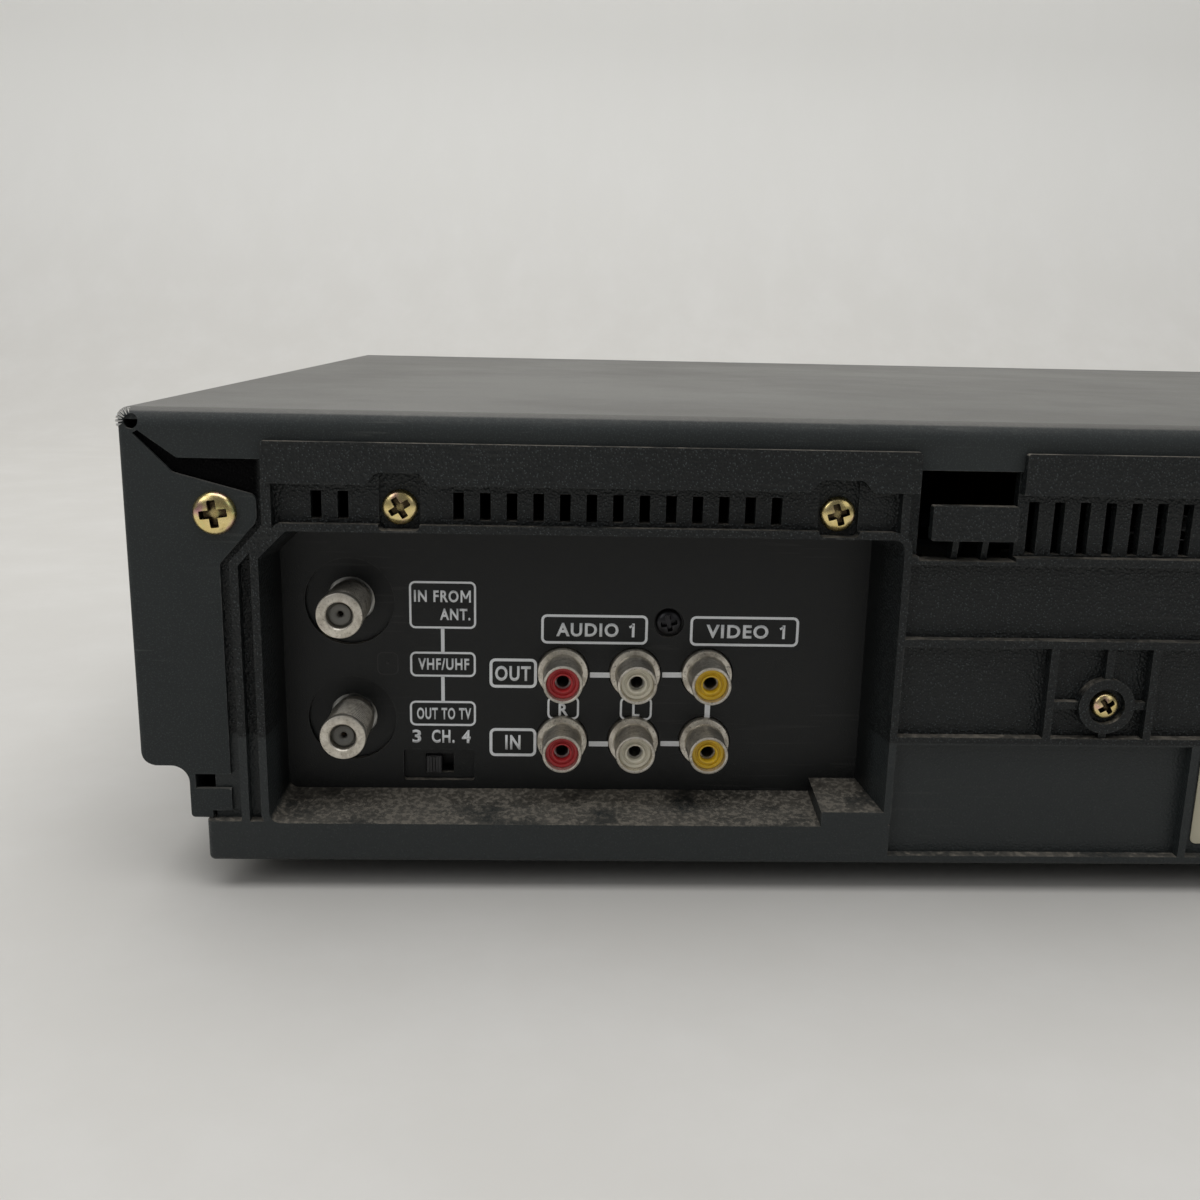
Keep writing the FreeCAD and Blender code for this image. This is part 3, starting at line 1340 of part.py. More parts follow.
def foot(x, y):
    """Moulded foot with a dished pad and a plug through the tray."""
    profile = [
        (FOOT_PAD_RADIUS - 3.0, 1.2),
        (FOOT_PAD_RADIUS - 2.4, 0, 0.4),
        (FOOT_PAD_RADIUS, 0, 0.8),
        (FOOT_RADIUS, FOOT_HEIGHT - SEAT_GAP, 0.5),
        (FOOT_PLUG_RADIUS, FOOT_HEIGHT - SEAT_GAP),
        (FOOT_PLUG_RADIUS, FOOT_HEIGHT + FOOT_PLUG_HEIGHT, 0.6),
        (0, FOOT_HEIGHT + FOOT_PLUG_HEIGHT),
        (0, 1.2),
    ]
    return turned(profile, vec(x, y, 0))


def main_board():
    """Main circuit board with its taller components."""
    left, right = BOARD_SPLIT + BOARD_GAP, APRON_HALF_WIDTH - BOARD_MARGIN
    board = box(left, right, board_front(), board_rear(), BOARD_Z, BOARD_TOP)
    holes = [rod(x, y, BOARD_Z - 1, POST_RADIUS + 3.5, 4) for x, y in deck_posts()]
    shapes = [cut(board, holes)]
    for index, (x, y) in enumerate(((120, 20), (120, -30), (150, 50), (-90, -60), (30, -70))):
        wide = 22 if index % 2 else 30
        shapes.append(box(x - wide / 2, x + wide / 2, y - 7, y + 7, BOARD_TOP, BOARD_TOP + 3.4))
    for index in range(9):
        x, y = 186 - 11 * (index % 3), -20 - 14 * (index // 3)
        shapes.append(turned([(0, 0), (4, 0, 0.4), (4, 9, 0.6), (0, 9)], vec(x, y, BOARD_TOP)))
    return group(shapes)


def power_board():
    """Power supply board with its heat sink and reservoir capacitors."""
    left, right = -APRON_HALF_WIDTH + BOARD_MARGIN, BOARD_SPLIT
    shapes = [box(left, right, board_front() + POWER_BOARD_FRONT, board_rear(), BOARD_Z, BOARD_TOP)]
    fins = [box(left + 6, left + 9, 0, 40, BOARD_TOP, BOARD_TOP + 38)]
    for index in range(5):
        y = 1 + index * 9
        fins.append(box(left + 8, left + 20, y, y + 1.6, BOARD_TOP + 2, BOARD_TOP + 38))
    shapes.append(join(fins))
    for x, y, radius, high in ((right - 14, -22, 9, 28), (right - 12, 92, 6, 22), (right - 12, 108, 6, 22)):
        profile = [(0, 0), (radius, 0, 0.6), (radius, high, 1.0), (0, high)]
        shapes.append(turned(profile, vec(x, y, BOARD_TOP)))
    return group(shapes)


def power_transformer():
    """Switch-mode transformer: ferrite frame round a wound bobbin."""
    wide, deep, high = TRANSFORMER_SIZE
    x, y, z = (BOARD_SPLIT - APRON_HALF_WIDTH + BOARD_MARGIN) / 2 - 7.0, TRANSFORMER_Y, BOARD_TOP
    frame = box(x - wide / 2, x + wide / 2, y - deep / 4, y + deep / 4, z + 4, z + high)
    window = box(x - wide / 2 + 6, x + wide / 2 - 6, y - deep / 2, y + deep / 2, z + 10, z + high - 6)
    bobbin = box(x - wide / 2 + 6, x + wide / 2 - 6, y - deep / 2, y + deep / 2, z + 10, z + high - 6)
    edges = [e for e in bobbin.Edges if abs(e.BoundBox.XLength - (wide - 12)) < 0.01]
    bobbin = bobbin.makeFillet(4.0, edges)
    base = box(x - wide / 2, x + wide / 2, y - deep / 2, y + deep / 2, z, z + 4)
    return group([cut(frame, [window]), bobbin, base])


# Tape deck

def deck_front():
    """Y of the front edge of the deck plate, under the front of the carriage."""
    return FRONT_Y + CARRIAGE_FRONT


def deck_rear():
    """Y of the rear edge of the deck plate."""
    return DRUM_Y + DRUM_BASE_RADIUS + DECK_REAR


def guide_centre(side):
    """Middle of the arc that a tape guide runs on; side is 1 or -1."""
    run_x, run_y = GUIDE_END_X - GUIDE_START_X, GUIDE_END_Y - GUIDE_START_Y
    chord = math.hypot(run_x, run_y)
    height = math.sqrt(GUIDE_SWEEP_RADIUS ** 2 - chord ** 2 / 4)
    x = (GUIDE_START_X + GUIDE_END_X) / 2 - run_y / chord * height
    y = (GUIDE_START_Y + GUIDE_END_Y) / 2 + run_x / chord * height
    return DECK_X + side * x, y


def guide_sweep():
    """Angle that a tape guide turns through on its arc, in degrees."""
    chord = math.hypot(GUIDE_END_X - GUIDE_START_X, GUIDE_END_Y - GUIDE_START_Y)
    return math.degrees(2 * math.asin(chord / 2 / GUIDE_SWEEP_RADIUS))


def guide_slot(side):
    """Curved slot in the deck plate for one guide's stem."""
    x, y = guide_centre(1)
    half = GUIDE_SLOT / 2
    z = DECK_LOW - 1
    outer = Part.makeCylinder(GUIDE_SWEEP_RADIUS + half, DECK_SHEET + 2, vec(x, y, z), Z_AXIS, guide_sweep())
    inner = rod(x, y, z - 1, GUIDE_SWEEP_RADIUS - half, DECK_SHEET + 4)
    arc = outer.cut(inner)
    start = math.degrees(math.atan2(GUIDE_START_Y - y, DECK_X + GUIDE_START_X - x))
    arc.rotate(vec(x, y, 0), Z_AXIS, start)
    ends = [rod(DECK_X + GUIDE_START_X, GUIDE_START_Y, z, half, DECK_SHEET + 2),
            rod(DECK_X + GUIDE_END_X, GUIDE_END_Y, z, half, DECK_SHEET + 2)]
    slot = arc.multiFuse(ends)
    return slot if side > 0 else slot.mirror(vec(DECK_X, 0, 0), X_AXIS)


def pinch_rest():
    """Where the pinch roller stands at rest, swung away from the capstan."""
    reach_x = CAPSTAN_X - PINCH_PIVOT_X
    reach_y = CAPSTAN_Y - (PINCH_RADIUS + CAPSTAN_RADIUS + FIT_GAP) - PINCH_PIVOT_Y
    turn = math.radians(PINCH_SWING)
    x = reach_x * math.cos(turn) - reach_y * math.sin(turn)
    y = reach_x * math.sin(turn) + reach_y * math.cos(turn)
    return DECK_X + PINCH_PIVOT_X + x, PINCH_PIVOT_Y + y


def deck_plate():
    """Pressed steel deck with turned-down sides, guide slots and riveted pins."""
    low, top = DECK_LOW, DECK_TOP
    left, right = DECK_X - DECK_HALF, DECK_X + DECK_HALF
    shapes = [prism_z([(left, deck_front(), 3), (right, deck_front(), 3), (right, deck_rear(), 3),
                       (left, deck_rear(), 3)], low, top)]
    for x in (left, right - DECK_SHEET):
        shapes.append(box(x, x + DECK_SHEET, deck_front() + 14, deck_rear() - 14, low - 6, low + 0.5))
    for side in (-1, 1):
        x = DECK_X + side * REEL_PITCH / 2
        shapes.append(rod(x, REEL_Y, low, REEL_PIN, top - low + REEL_LIFT + REEL_FLANGE + 8))
        shapes.append(rod(x, REEL_Y, low, REEL_PIN + 3, top - low + REEL_LIFT - FIT_GAP))
    for x, y, radius in ((PINCH_PIVOT_X, PINCH_PIVOT_Y, PINCH_PIN), (TENSION_PIVOT_X, TENSION_PIVOT_Y, PINCH_PIN)):
        shapes.append(rod(DECK_X + x, y, low, radius, top - low + 9))
    for x, y, high in ((-60, 64, 22), (61, 73, 22)):
        shapes.append(turned([(0, 0), (2.2, 0), (2.2, high, 0.5), (0, high)], vec(DECK_X + x, y, low)))
    shapes.append(rod(DECK_X + CAM_X, CAM_Y, low - CAM_THICK - 4, CAM_SHAFT, CAM_THICK + 4.5))
    shapes.append(capstan_bearing())
    body = join(shapes)
    tools = [guide_slot(1), guide_slot(-1)]
    tools.append(rod(DECK_X + CAPSTAN_X, CAPSTAN_Y, low - CAPSTAN_TOP, CAPSTAN_RADIUS + SHAFT_FIT, CAPSTAN_TOP * 2))
    tools.append(rod(DECK_X, CLUTCH_Y, low - 1, CLUTCH_SHAFT * 2 + SHAFT_FIT, 4))
    tools.append(rod(DECK_X, DRUM_Y, low - 1, DRUM_HOLE, 4))
    for x, y, wide, deep in ((0, -70, 60, 34), (-78, -60, 30, 40), (78, -60, 30, 40), (88, 100, 24, 24)):
        tools.append(prism_z(pad(DECK_X + x - wide / 2, DECK_X + x + wide / 2, y - deep / 2, y + deep / 2, 4),
                             low - 1, top + 1))
    return cut(body, tools)


def reel_table(side):
    """Reel table: drive rim, seat and a splined hub."""
    z = DECK_TOP + REEL_LIFT
    bore = REEL_PIN + SHAFT_FIT
    x = DECK_X + side * REEL_PITCH / 2
    profile = [
        (bore, 0),
        (REEL_RADIUS, 0, 0.3),
        (REEL_RADIUS, REEL_FLANGE, 0.3),
        (REEL_RADIUS - 7, REEL_FLANGE),
        (REEL_RADIUS - 7, REEL_FLANGE + 1, 0.3),
        (REEL_HUB, REEL_FLANGE + 1),
        (REEL_HUB, REEL_HUB_HEIGHT - 3),
        (bore + 0.8, REEL_HUB_HEIGHT),
        (bore, REEL_HUB_HEIGHT),
    ]
    shapes = [turned(profile, vec(x, REEL_Y, z))]
    for index in range(REEL_TEETH):
        tooth = box(x + REEL_HUB - 0.6, x + REEL_HUB + 2.2, REEL_Y - 0.9, REEL_Y + 0.9,
                    z + REEL_FLANGE + 0.5, z + REEL_HUB_HEIGHT - 4)
        tooth.rotate(vec(x, REEL_Y, 0), Z_AXIS, index * 360 / REEL_TEETH)
        shapes.append(tooth)
    return join(shapes)


def drum_placement():
    """The leaning frame of the head drum, its origin low on the drum's axis."""
    return FreeCAD.Placement(vec(DECK_X, DRUM_Y, DECK_TOP + DRUM_BASE_HEIGHT + 3.5),
                             FreeCAD.Rotation(X_AXIS, -DRUM_TILT))


def drum_base():
    """Fixed lower drum, leaning on its base, with the tape's lead step."""
    z = DECK_TOP
    base = rod(DECK_X, DRUM_Y, z, DRUM_BASE_RADIUS, DRUM_BASE_HEIGHT)
    lower = turned([(0, -LEAD_SKIRT), (LEAD_RADIUS, -LEAD_SKIRT), (LEAD_RADIUS, LEAD_HEIGHT), (DRUM_RADIUS, LEAD_HEIGHT),
                    (DRUM_RADIUS, DRUM_LOWER, 0.3), (0, DRUM_LOWER)], vec(0, 0, 0))
    lower.Placement = drum_placement()
    reach = DRUM_BASE_RADIUS * 2
    floor = box(DECK_X - reach, DECK_X + reach, DRUM_Y - reach, DRUM_Y + reach, z - reach, z)
    body = cut(join([base, lower]), [floor])
    bore = rod(0, 0, -2, DRUM_SHAFT + SHAFT_FIT, DRUM_LOWER + 4)
    bore.Placement = drum_placement()
    return cut(body, [bore])


def head_drum():
    """Spinning upper drum with its shaft, head windows and dished top."""
    low = DRUM_LOWER + DRUM_GAP
    top = low + DRUM_UPPER
    profile = [
        (0, 2),
        (DRUM_SHAFT, 2),
        (DRUM_SHAFT, low),
        (DRUM_RADIUS, low, 0.3),
        (DRUM_RADIUS, top, 0.8),
        (DRUM_RADIUS - 6, top, 0.4),
        (DRUM_RADIUS - 8, top - 3, 0.6),
        (13, top - 3),
        (13, top + 1, 0.5),
        (DRUM_SHAFT, top + 1),
        (DRUM_SHAFT, top + 3, 0.4),
        (0, top + 3),
    ]
    body = turned(profile, vec(0, 0, 0))
    tools = []
    for index in range(4):
        window = box(DRUM_RADIUS - 3, DRUM_RADIUS + 1, -2.6, 2.6, low - 1, low + 3)
        window.rotate(vec(0, 0, 0), Z_AXIS, index * 90)
        tools.append(window)
        hole = rod(18, 0, top - 5, 2.0, 4)
        hole.rotate(vec(0, 0, 0), Z_AXIS, 45 + index * 90)
        tools.append(hole)
    body = cut(body, tools)
    body.Placement = drum_placement()
    return body


def flywheel_top():
    """Z of the top of the capstan's flywheel."""
    return DECK_LOW - FLYWHEEL_DROP


def pulley_low():
    """Z of the underside of both belt pulleys."""
    return flywheel_top() - FLYWHEEL_THICK - PULLEY_THICK


def pulley_profile(bore, radius, z):
    """Half section of a grooved pulley."""
    rim = (PULLEY_THICK - BELT_WIDTH) / 2 - 0.2
    return [
        (bore, z),
        (radius + PULLEY_RIM, z, 0.2),
        (radius + PULLEY_RIM, z + rim),
        (radius, z + rim),
        (radius, z + PULLEY_THICK - rim),
        (radius + PULLEY_RIM, z + PULLEY_THICK - rim),
    ]


def capstan_shaft():
    z = pulley_low()
    high = DECK_TOP + CAPSTAN_TOP - z
    profile = [(0, 0), (CAPSTAN_RADIUS, 0), (CAPSTAN_RADIUS, high, 0.5), (0, high)]
    return turned(profile, vec(DECK_X + CAPSTAN_X, CAPSTAN_Y, z))


def capstan_flywheel():
    """Flywheel and belt pulley pressed on the capstan."""
    low = pulley_low()
    top = flywheel_top() - low
    profile = pulley_profile(CAPSTAN_RADIUS, CAPSTAN_PULLEY, 0) + [
        (CAPSTAN_PULLEY + PULLEY_RIM, PULLEY_THICK),
        (FLYWHEEL_RADIUS, PULLEY_THICK, 0.8),
        (FLYWHEEL_RADIUS, top, 0.8),
        (FLYWHEEL_RADIUS - 5, top),
        (FLYWHEEL_RADIUS - 6, top - 3),
        (CAPSTAN_RADIUS + 5, top - 3),
        (CAPSTAN_RADIUS + 5, top),
        (CAPSTAN_RADIUS, top),
    ]
    return turned(profile, vec(DECK_X + CAPSTAN_X, CAPSTAN_Y, low))


def capstan_bearing():
    """Bearing tube of the capstan, staked in the deck; its bore is cut later."""
    low = DECK_LOW - FLYWHEEL_DROP + 1.0
    profile = [
        (0, 0),
        (CAPSTAN_BUSH, 0),
        (CAPSTAN_BUSH, DECK_TOP - low),
        (CAPSTAN_BUSH + 3.5, DECK_TOP - low),
        (CAPSTAN_BUSH + 3.5, DECK_TOP - low + 1.6, 0.4),
        (CAPSTAN_BUSH - 0.8, DECK_TOP - low + 1.6),
        (CAPSTAN_BUSH - 1.2, DECK_TOP - low + BEARING_RISE, 0.4),
        (0, DECK_TOP - low + BEARING_RISE),
    ]
    return turned(profile, vec(DECK_X + CAPSTAN_X, CAPSTAN_Y, low))


def clutch():
    """Clutch: belt pulley below the deck, friction wheel above it, pivot stub on top."""
    low = pulley_low()
    hub = CLUTCH_SHAFT * 2
    wheel = DECK_TOP + 1.0 - low
    profile = [(0, 0)] + pulley_profile(0, CLUTCH_PULLEY, 0)[1:] + [
        (CLUTCH_PULLEY + PULLEY_RIM, PULLEY_THICK),
        (hub, PULLEY_THICK),
        (hub, wheel),
        (CLUTCH_WHEEL, wheel, 0.3),
        (CLUTCH_WHEEL, wheel + IDLER_THICK, 0.3),
        (CLUTCH_SHAFT, wheel + IDLER_THICK),
        (CLUTCH_SHAFT, wheel + IDLER_THICK + 3.5, 0.4),
        (0, wheel + IDLER_THICK + 3.5),
    ]
    return turned(profile, vec(DECK_X, CLUTCH_Y, low))


def belt_outline(grow):
    """Loop round both pulleys, grown from their grooves."""
    ax, ay, ra = DECK_X, CLUTCH_Y, CLUTCH_PULLEY + grow
    bx, by, rb = DECK_X + CAPSTAN_X, CAPSTAN_Y, CAPSTAN_PULLEY + grow
    line = math.atan2(by - ay, bx - ax)
    spread = math.acos((ra - rb) / math.hypot(bx - ax, by - ay))
    z = pulley_low() + (PULLEY_THICK - BELT_WIDTH) / 2

    def on(cx, cy, radius, angle):
        return vec(cx + radius * math.cos(angle), cy + radius * math.sin(angle), z)

    upper, lower = line + spread, line - spread
    edges = [
        Part.Arc(on(ax, ay, ra, upper), on(ax, ay, ra, line + math.pi), on(ax, ay, ra, lower)).toShape(),
        Part.LineSegment(on(ax, ay, ra, lower), on(bx, by, rb, lower)).toShape(),
        Part.Arc(on(bx, by, rb, lower), on(bx, by, rb, line), on(bx, by, rb, upper)).toShape(),
        Part.LineSegment(on(bx, by, rb, upper), on(ax, ay, ra, upper)).toShape(),
    ]
    return Part.Face(Part.Wire(edges)).extrude(vec(0, 0, BELT_WIDTH))


def drive_belt():
    return belt_outline(FIT_GAP + BELT_THICK).cut(belt_outline(FIT_GAP))


def idler_y():
    """Y of the idler's axis at rest, in mesh with the clutch wheel."""
    return CLUTCH_Y - CLUTCH_WHEEL - IDLER_RADIUS - FIT_GAP


def idler_wheel():
    """Rubber-tyred idler between the reel tables."""
    profile = [
        (IDLER_SHAFT + SHAFT_FIT, 0),
        (IDLER_RADIUS, 0, 0.3),
        (IDLER_RADIUS, IDLER_THICK, 0.3),
        (IDLER_RADIUS - 3, IDLER_THICK),
        (IDLER_RADIUS - 3.5, IDLER_THICK - 1),
        (IDLER_SHAFT + 3, IDLER_THICK - 1),
        (IDLER_SHAFT + 3, IDLER_THICK),
        (IDLER_SHAFT + SHAFT_FIT, IDLER_THICK),
    ]
    return turned(profile, vec(DECK_X, idler_y(), DECK_TOP + 1.0))


def idler_arm():
    """Swinging arm that carries the idler about the clutch's stub."""
    z = DECK_TOP + 1.0 + IDLER_THICK + FIT_GAP
    y = idler_y()
    plate = prism_z([(DECK_X - 4, y - 4, 3), (DECK_X + 4, y - 4, 3), (DECK_X + 5, CLUTCH_Y + 5, 4),
                     (DECK_X - 5, CLUTCH_Y + 5, 4)], z, z + IDLER_ARM)
    plate = cut(plate, [rod(DECK_X, CLUTCH_Y, z - 1, CLUTCH_SHAFT + SHAFT_FIT, 4)])
    pin = rod(DECK_X, y, DECK_TOP + 0.4, IDLER_SHAFT, z - DECK_TOP)
    return join([plate, pin])


def pinch_arm():
    """Bent arm with the roller's pin and a hub on its pivot."""
    x, y = DECK_X + PINCH_PIVOT_X, PINCH_PIVOT_Y
    rx, ry = pinch_rest()
    z = DECK_TOP + 3.0
    hub = rod(x, y, DECK_TOP + 0.5, 4.0, 8.0)
    run_x, run_y = rx - x, ry - y
    long = math.hypot(run_x, run_y)
    nx, ny = -run_y / long * 3.2, run_x / long * 3.2
    plate = prism_z([(x + nx, y + ny), (x - nx, y - ny), (rx - nx, ry - ny, 2), (rx + nx, ry + ny, 2)],
                    z, z + PINCH_ARM_THICK)
    seat = rod(rx, ry, z, 4.0, PINCH_ARM_THICK + 0.5)
    pin = rod(rx, ry, z, PINCH_PIN, PINCH_HEIGHT + PINCH_ARM_THICK + 2.5)
    body = join([hub, plate, seat, pin])
    return cut(body, [rod(x, y, DECK_TOP, PINCH_PIN + SHAFT_FIT, 12)])


def pinch_roller():
    """Rubber pinch roller with a bush in each end."""
    x, y = pinch_rest()
    bore = PINCH_PIN + SHAFT_FIT
    profile = [(bore, 0), (PINCH_RADIUS, 0, 0.5), (PINCH_RADIUS, PINCH_HEIGHT, 0.5), (bore, PINCH_HEIGHT)]
    return turned(profile, vec(x, y, DECK_TOP + 3.0 + PINCH_ARM_THICK + 0.5 + FIT_GAP))


def tape_guide(side):
    """Guide block with its roller post, and a stem held below the deck's slot."""
    x, y = DECK_X + GUIDE_START_X, GUIDE_START_Y
    half = GUIDE_BLOCK / 2
    z = DECK_TOP + FIT_GAP
    top = z + GUIDE_BLOCK_THICK
    shapes = [prism_z([(x - half, y - half, 2), (x + half, y - half, 2), (x + half, y + half, 2),
                       (x - half, y + half, 2)], z, top)]
    shapes.append(rod(x, y, DECK_LOW - 3.2, GUIDE_STEM, 3.2 + DECK_SHEET + 1))
    shapes.append(rod(x, y, DECK_LOW - 3.2, GUIDE_STEM + 2, 1.6))
    shapes.append(turned([
        (0, 0),
        (GUIDE_ROLLER + 1, 0),
        (GUIDE_ROLLER + 1, 1.4, 0.3),
        (GUIDE_ROLLER, 1.4),
        (GUIDE_ROLLER, GUIDE_ROLLER_HEIGHT - 1.4),
        (GUIDE_ROLLER + 1, GUIDE_ROLLER_HEIGHT - 1.4),
        (GUIDE_ROLLER + 1, GUIDE_ROLLER_HEIGHT, 0.5),
        (0, GUIDE_ROLLER_HEIGHT),
    ], vec(x, y + 1.5, top)))
    body = join(shapes)
    return body if side > 0 else body.mirror(vec(DECK_X, 0, 0), X_AXIS)


def cam_gear():
    """Loading cam: a toothed rim, a web and a curved track in its face."""
    z = DECK_LOW - 2.0 - CAM_THICK
    bore = CAM_SHAFT + SHAFT_FIT
    profile = [(bore, 0), (CAM_RADIUS, 0), (CAM_RADIUS, CAM_THICK), (bore, CAM_THICK)]
    x, y = DECK_X + CAM_X, CAM_Y
    body = turned(profile, vec(x, y, z))
    tools = []
    for index in range(CAM_TEETH):
        gap = rod(x + CAM_RADIUS + 0.25, y, z - 1, CAM_RADIUS * 1.6 / CAM_TEETH, CAM_THICK + 2)
        gap.rotate(vec(x, y, 0), Z_AXIS, index * 360 / CAM_TEETH)
        tools.append(gap)
    track = rod(x + 3, y, z + CAM_THICK - 2, CAM_RADIUS - 6, 3).cut(rod(x + 3, y, z, CAM_RADIUS - 10, CAM_THICK + 2))
    return cut(body, tools + [track])


def loading_motor():
    """Sealed gear motor beside the cam, hung under the deck."""
    wide, deep, high = MOTOR_SIZE
    right = DECK_X + CAM_X - CAM_RADIUS - 1.0
    z = DECK_LOW - high
    case = box(right - wide, right, CAM_Y - deep / 2, CAM_Y + deep / 2, z, DECK_LOW)
    edges = [e for e in case.Edges if abs(e.BoundBox.ZLength - high) < 0.01]
    case = case.makeFillet(2.0, edges)
    can = rod(right - wide / 2, CAM_Y + deep / 2 - 1, z + high / 2, high / 2 - 0.5, 21, Y_AXIS)
    return join([case, can])


def tension_arm():
    """Back-tension arm: hub, arm and the post that feels the tape."""
    x, y = DECK_X + TENSION_PIVOT_X, TENSION_PIVOT_Y
    px, py = DECK_X + TENSION_POST_X, TENSION_POST_Y
    run_x, run_y = px - x, py - y
    long = math.hypot(run_x, run_y)
    nx, ny = -run_y / long * 2.6, run_x / long * 2.6
    z = DECK_TOP + 3.0
    plate = prism_z([(x + nx, y + ny), (x - nx, y - ny), (px - nx, py - ny, 2), (px + nx, py + ny, 2)],
                    z, z + PINCH_ARM_THICK)
    hub = rod(x, y, DECK_TOP + 0.5, 3.6, 7.5)
    post = turned([(0, 0), (1.6, 0), (1.6, 17), (2.6, 17), (2.6, 18.2, 0.4), (0, 18.2)], vec(px, py, z))
    return cut(join([hub, plate, post]), [rod(x, y, DECK_TOP, PINCH_PIN + SHAFT_FIT, 12)])


def fixed_head(x, y, wide):
    """A fixed head on its base, with a rounded face towards the tape."""
    x = DECK_X + x
    base = box(x - wide / 2 - 3, x + wide / 2 + 3, y - 4, y + 7, DECK_TOP, DECK_TOP + 2)
    stem = box(x - 2.5, x + 2.5, y, y + 5, DECK_TOP + 1, DECK_TOP + 7)
    head = prism_z([(x - wide / 2, y - 4, 3), (x + wide / 2, y - 4, 3), (x + wide / 2, y + 5, 0.5),
                    (x - wide / 2, y + 5, 0.5)], DECK_TOP + 6, DECK_TOP + 22)
    return join([base, stem, head])


# Cassette carriage

def tape_low():
    """Z of the cassette's underside as it enters the slot."""
    return BASE_Z + TAPE_UP


def cage_half():
    """Half of the basket's width inside."""
    return TAPE_WIDTH / 2 + TAPE_PLAY


def stud_places():
    """Y of the basket's two studs on each side."""
    return [deck_front() + 16.0, deck_front() + 16.0 + STUD_SPAN]


def cassette_basket():
    """Folded sheet basket: top plate, sides, two ledges and four studs."""
    front, rear = deck_front(), deck_front() + TAPE_DEPTH
    inner, outer = cage_half(), cage_half() + CARRIAGE_SHEET
    low = tape_low() - CARRIAGE_SHEET
    top = tape_low() + TAPE_THICK + TAPE_PLAY
    shapes = [box(DECK_X - outer, DECK_X + outer, front, rear, top, top + CARRIAGE_SHEET)]
    for side in (-1, 1):
        wall = (DECK_X + side * inner, DECK_X + side * outer)
        shapes.append(box(wall[0], wall[1], front, front + SIDE_LENGTH, low, top + CARRIAGE_SHEET))
        shapes.append(box(DECK_X + side * (outer - LEDGE_WIDTH), wall[1], front, front + LEDGE_LENGTH,
                          low, low + CARRIAGE_SHEET))
        for y in stud_places():
            reach = SLIDER_GAP + CARRIAGE_SHEET + 0.5
            start = wall[1] - side * 0.3
            shapes.append(rod(start, y, stud_z(), STUD_RADIUS, reach + 0.3, vec(side, 0, 0)))
    body = join(shapes)
    windows = [prism_z(pad(DECK_X + x - 26, DECK_X + x + 26, front + 22, rear - 22, 5), top - 1, top + 3)
               for x in (-58, 58)]
    flare = prism_z([(DECK_X - 40, rear + 1), (DECK_X - 30, rear - 14, 4), (DECK_X + 30, rear - 14, 4),
                     (DECK_X + 40, rear + 1)], top - 1, top + 3)
    return cut(body, windows + [flare])


def stud_z():
    """Z of the basket's studs while it is up."""
    return tape_low() + TAPE_THICK / 2


def runner_z():
    """Z of the studs that the sliders run on."""
    return tape_low() + TAPE_THICK - 2.0


def runner_places():
    """Y of each slider's two running studs."""
    return [deck_front() + 8.0, deck_front() + SIDE_LENGTH - 8.0]


def carriage_travel():
    """How far the sliders carry a cassette in, until its reels stand over the tables."""
    return REEL_Y - TAPE_REEL_BACK - deck_front()


def carriage_sliders():
    """Pair of slide plates, tied by a rod, that carry the basket in and let it sink."""
    near = cage_half() + CARRIAGE_SHEET + SLIDER_GAP
    far = near + CARRIAGE_SHEET
    front, rear = deck_front(), deck_front() + SIDE_LENGTH
    low = stud_z() - CARRIAGE_DOWN - 6
    top = runner_z() + 4
    tie_z = tape_low() + TAPE_THICK + TAPE_PLAY + CARRIAGE_SHEET + 2.2
    half_slot = STUD_RADIUS + FIT_GAP
    shapes = []
    tools = []
    for side in (-1, 1):
        x0, x1 = DECK_X + side * near, DECK_X + side * far
        outline = [(front, low, 2), (rear, low, 2), (rear, top), (rear, tie_z + 2, 1), (rear - 7, tie_z + 2, 1),
                   (rear - 7, top), (front, top, 2)]
        shapes.append(prism_x(outline, min(x0, x1), max(x0, x1)))
        for y in runner_places():
            reach = SLIDER_GAP + RAIL_SHEET + 0.6
            shapes.append(rod(x1 - side * 0.3, y, runner_z(), STUD_RADIUS, reach + 0.3, vec(side, 0, 0)))
        for y in stud_places():
            slot = [(y - half_slot, stud_z() - CARRIAGE_DOWN - half_slot, half_slot - 0.01),
                    (y + half_slot, stud_z() - CARRIAGE_DOWN - half_slot, half_slot - 0.01),
                    (y + half_slot, stud_z() + half_slot, half_slot - 0.01),
                    (y - half_slot, stud_z() + half_slot, half_slot - 0.01)]
            tools.append(prism_x(slot, min(x0, x1) - 0.5, max(x0, x1) + 0.5))
    shapes.append(rod(DECK_X - near - 0.5, rear - 3.5, tie_z, 1.2, 2 * near + 1.0, X_AXIS))
    return cut(join(shapes), tools)


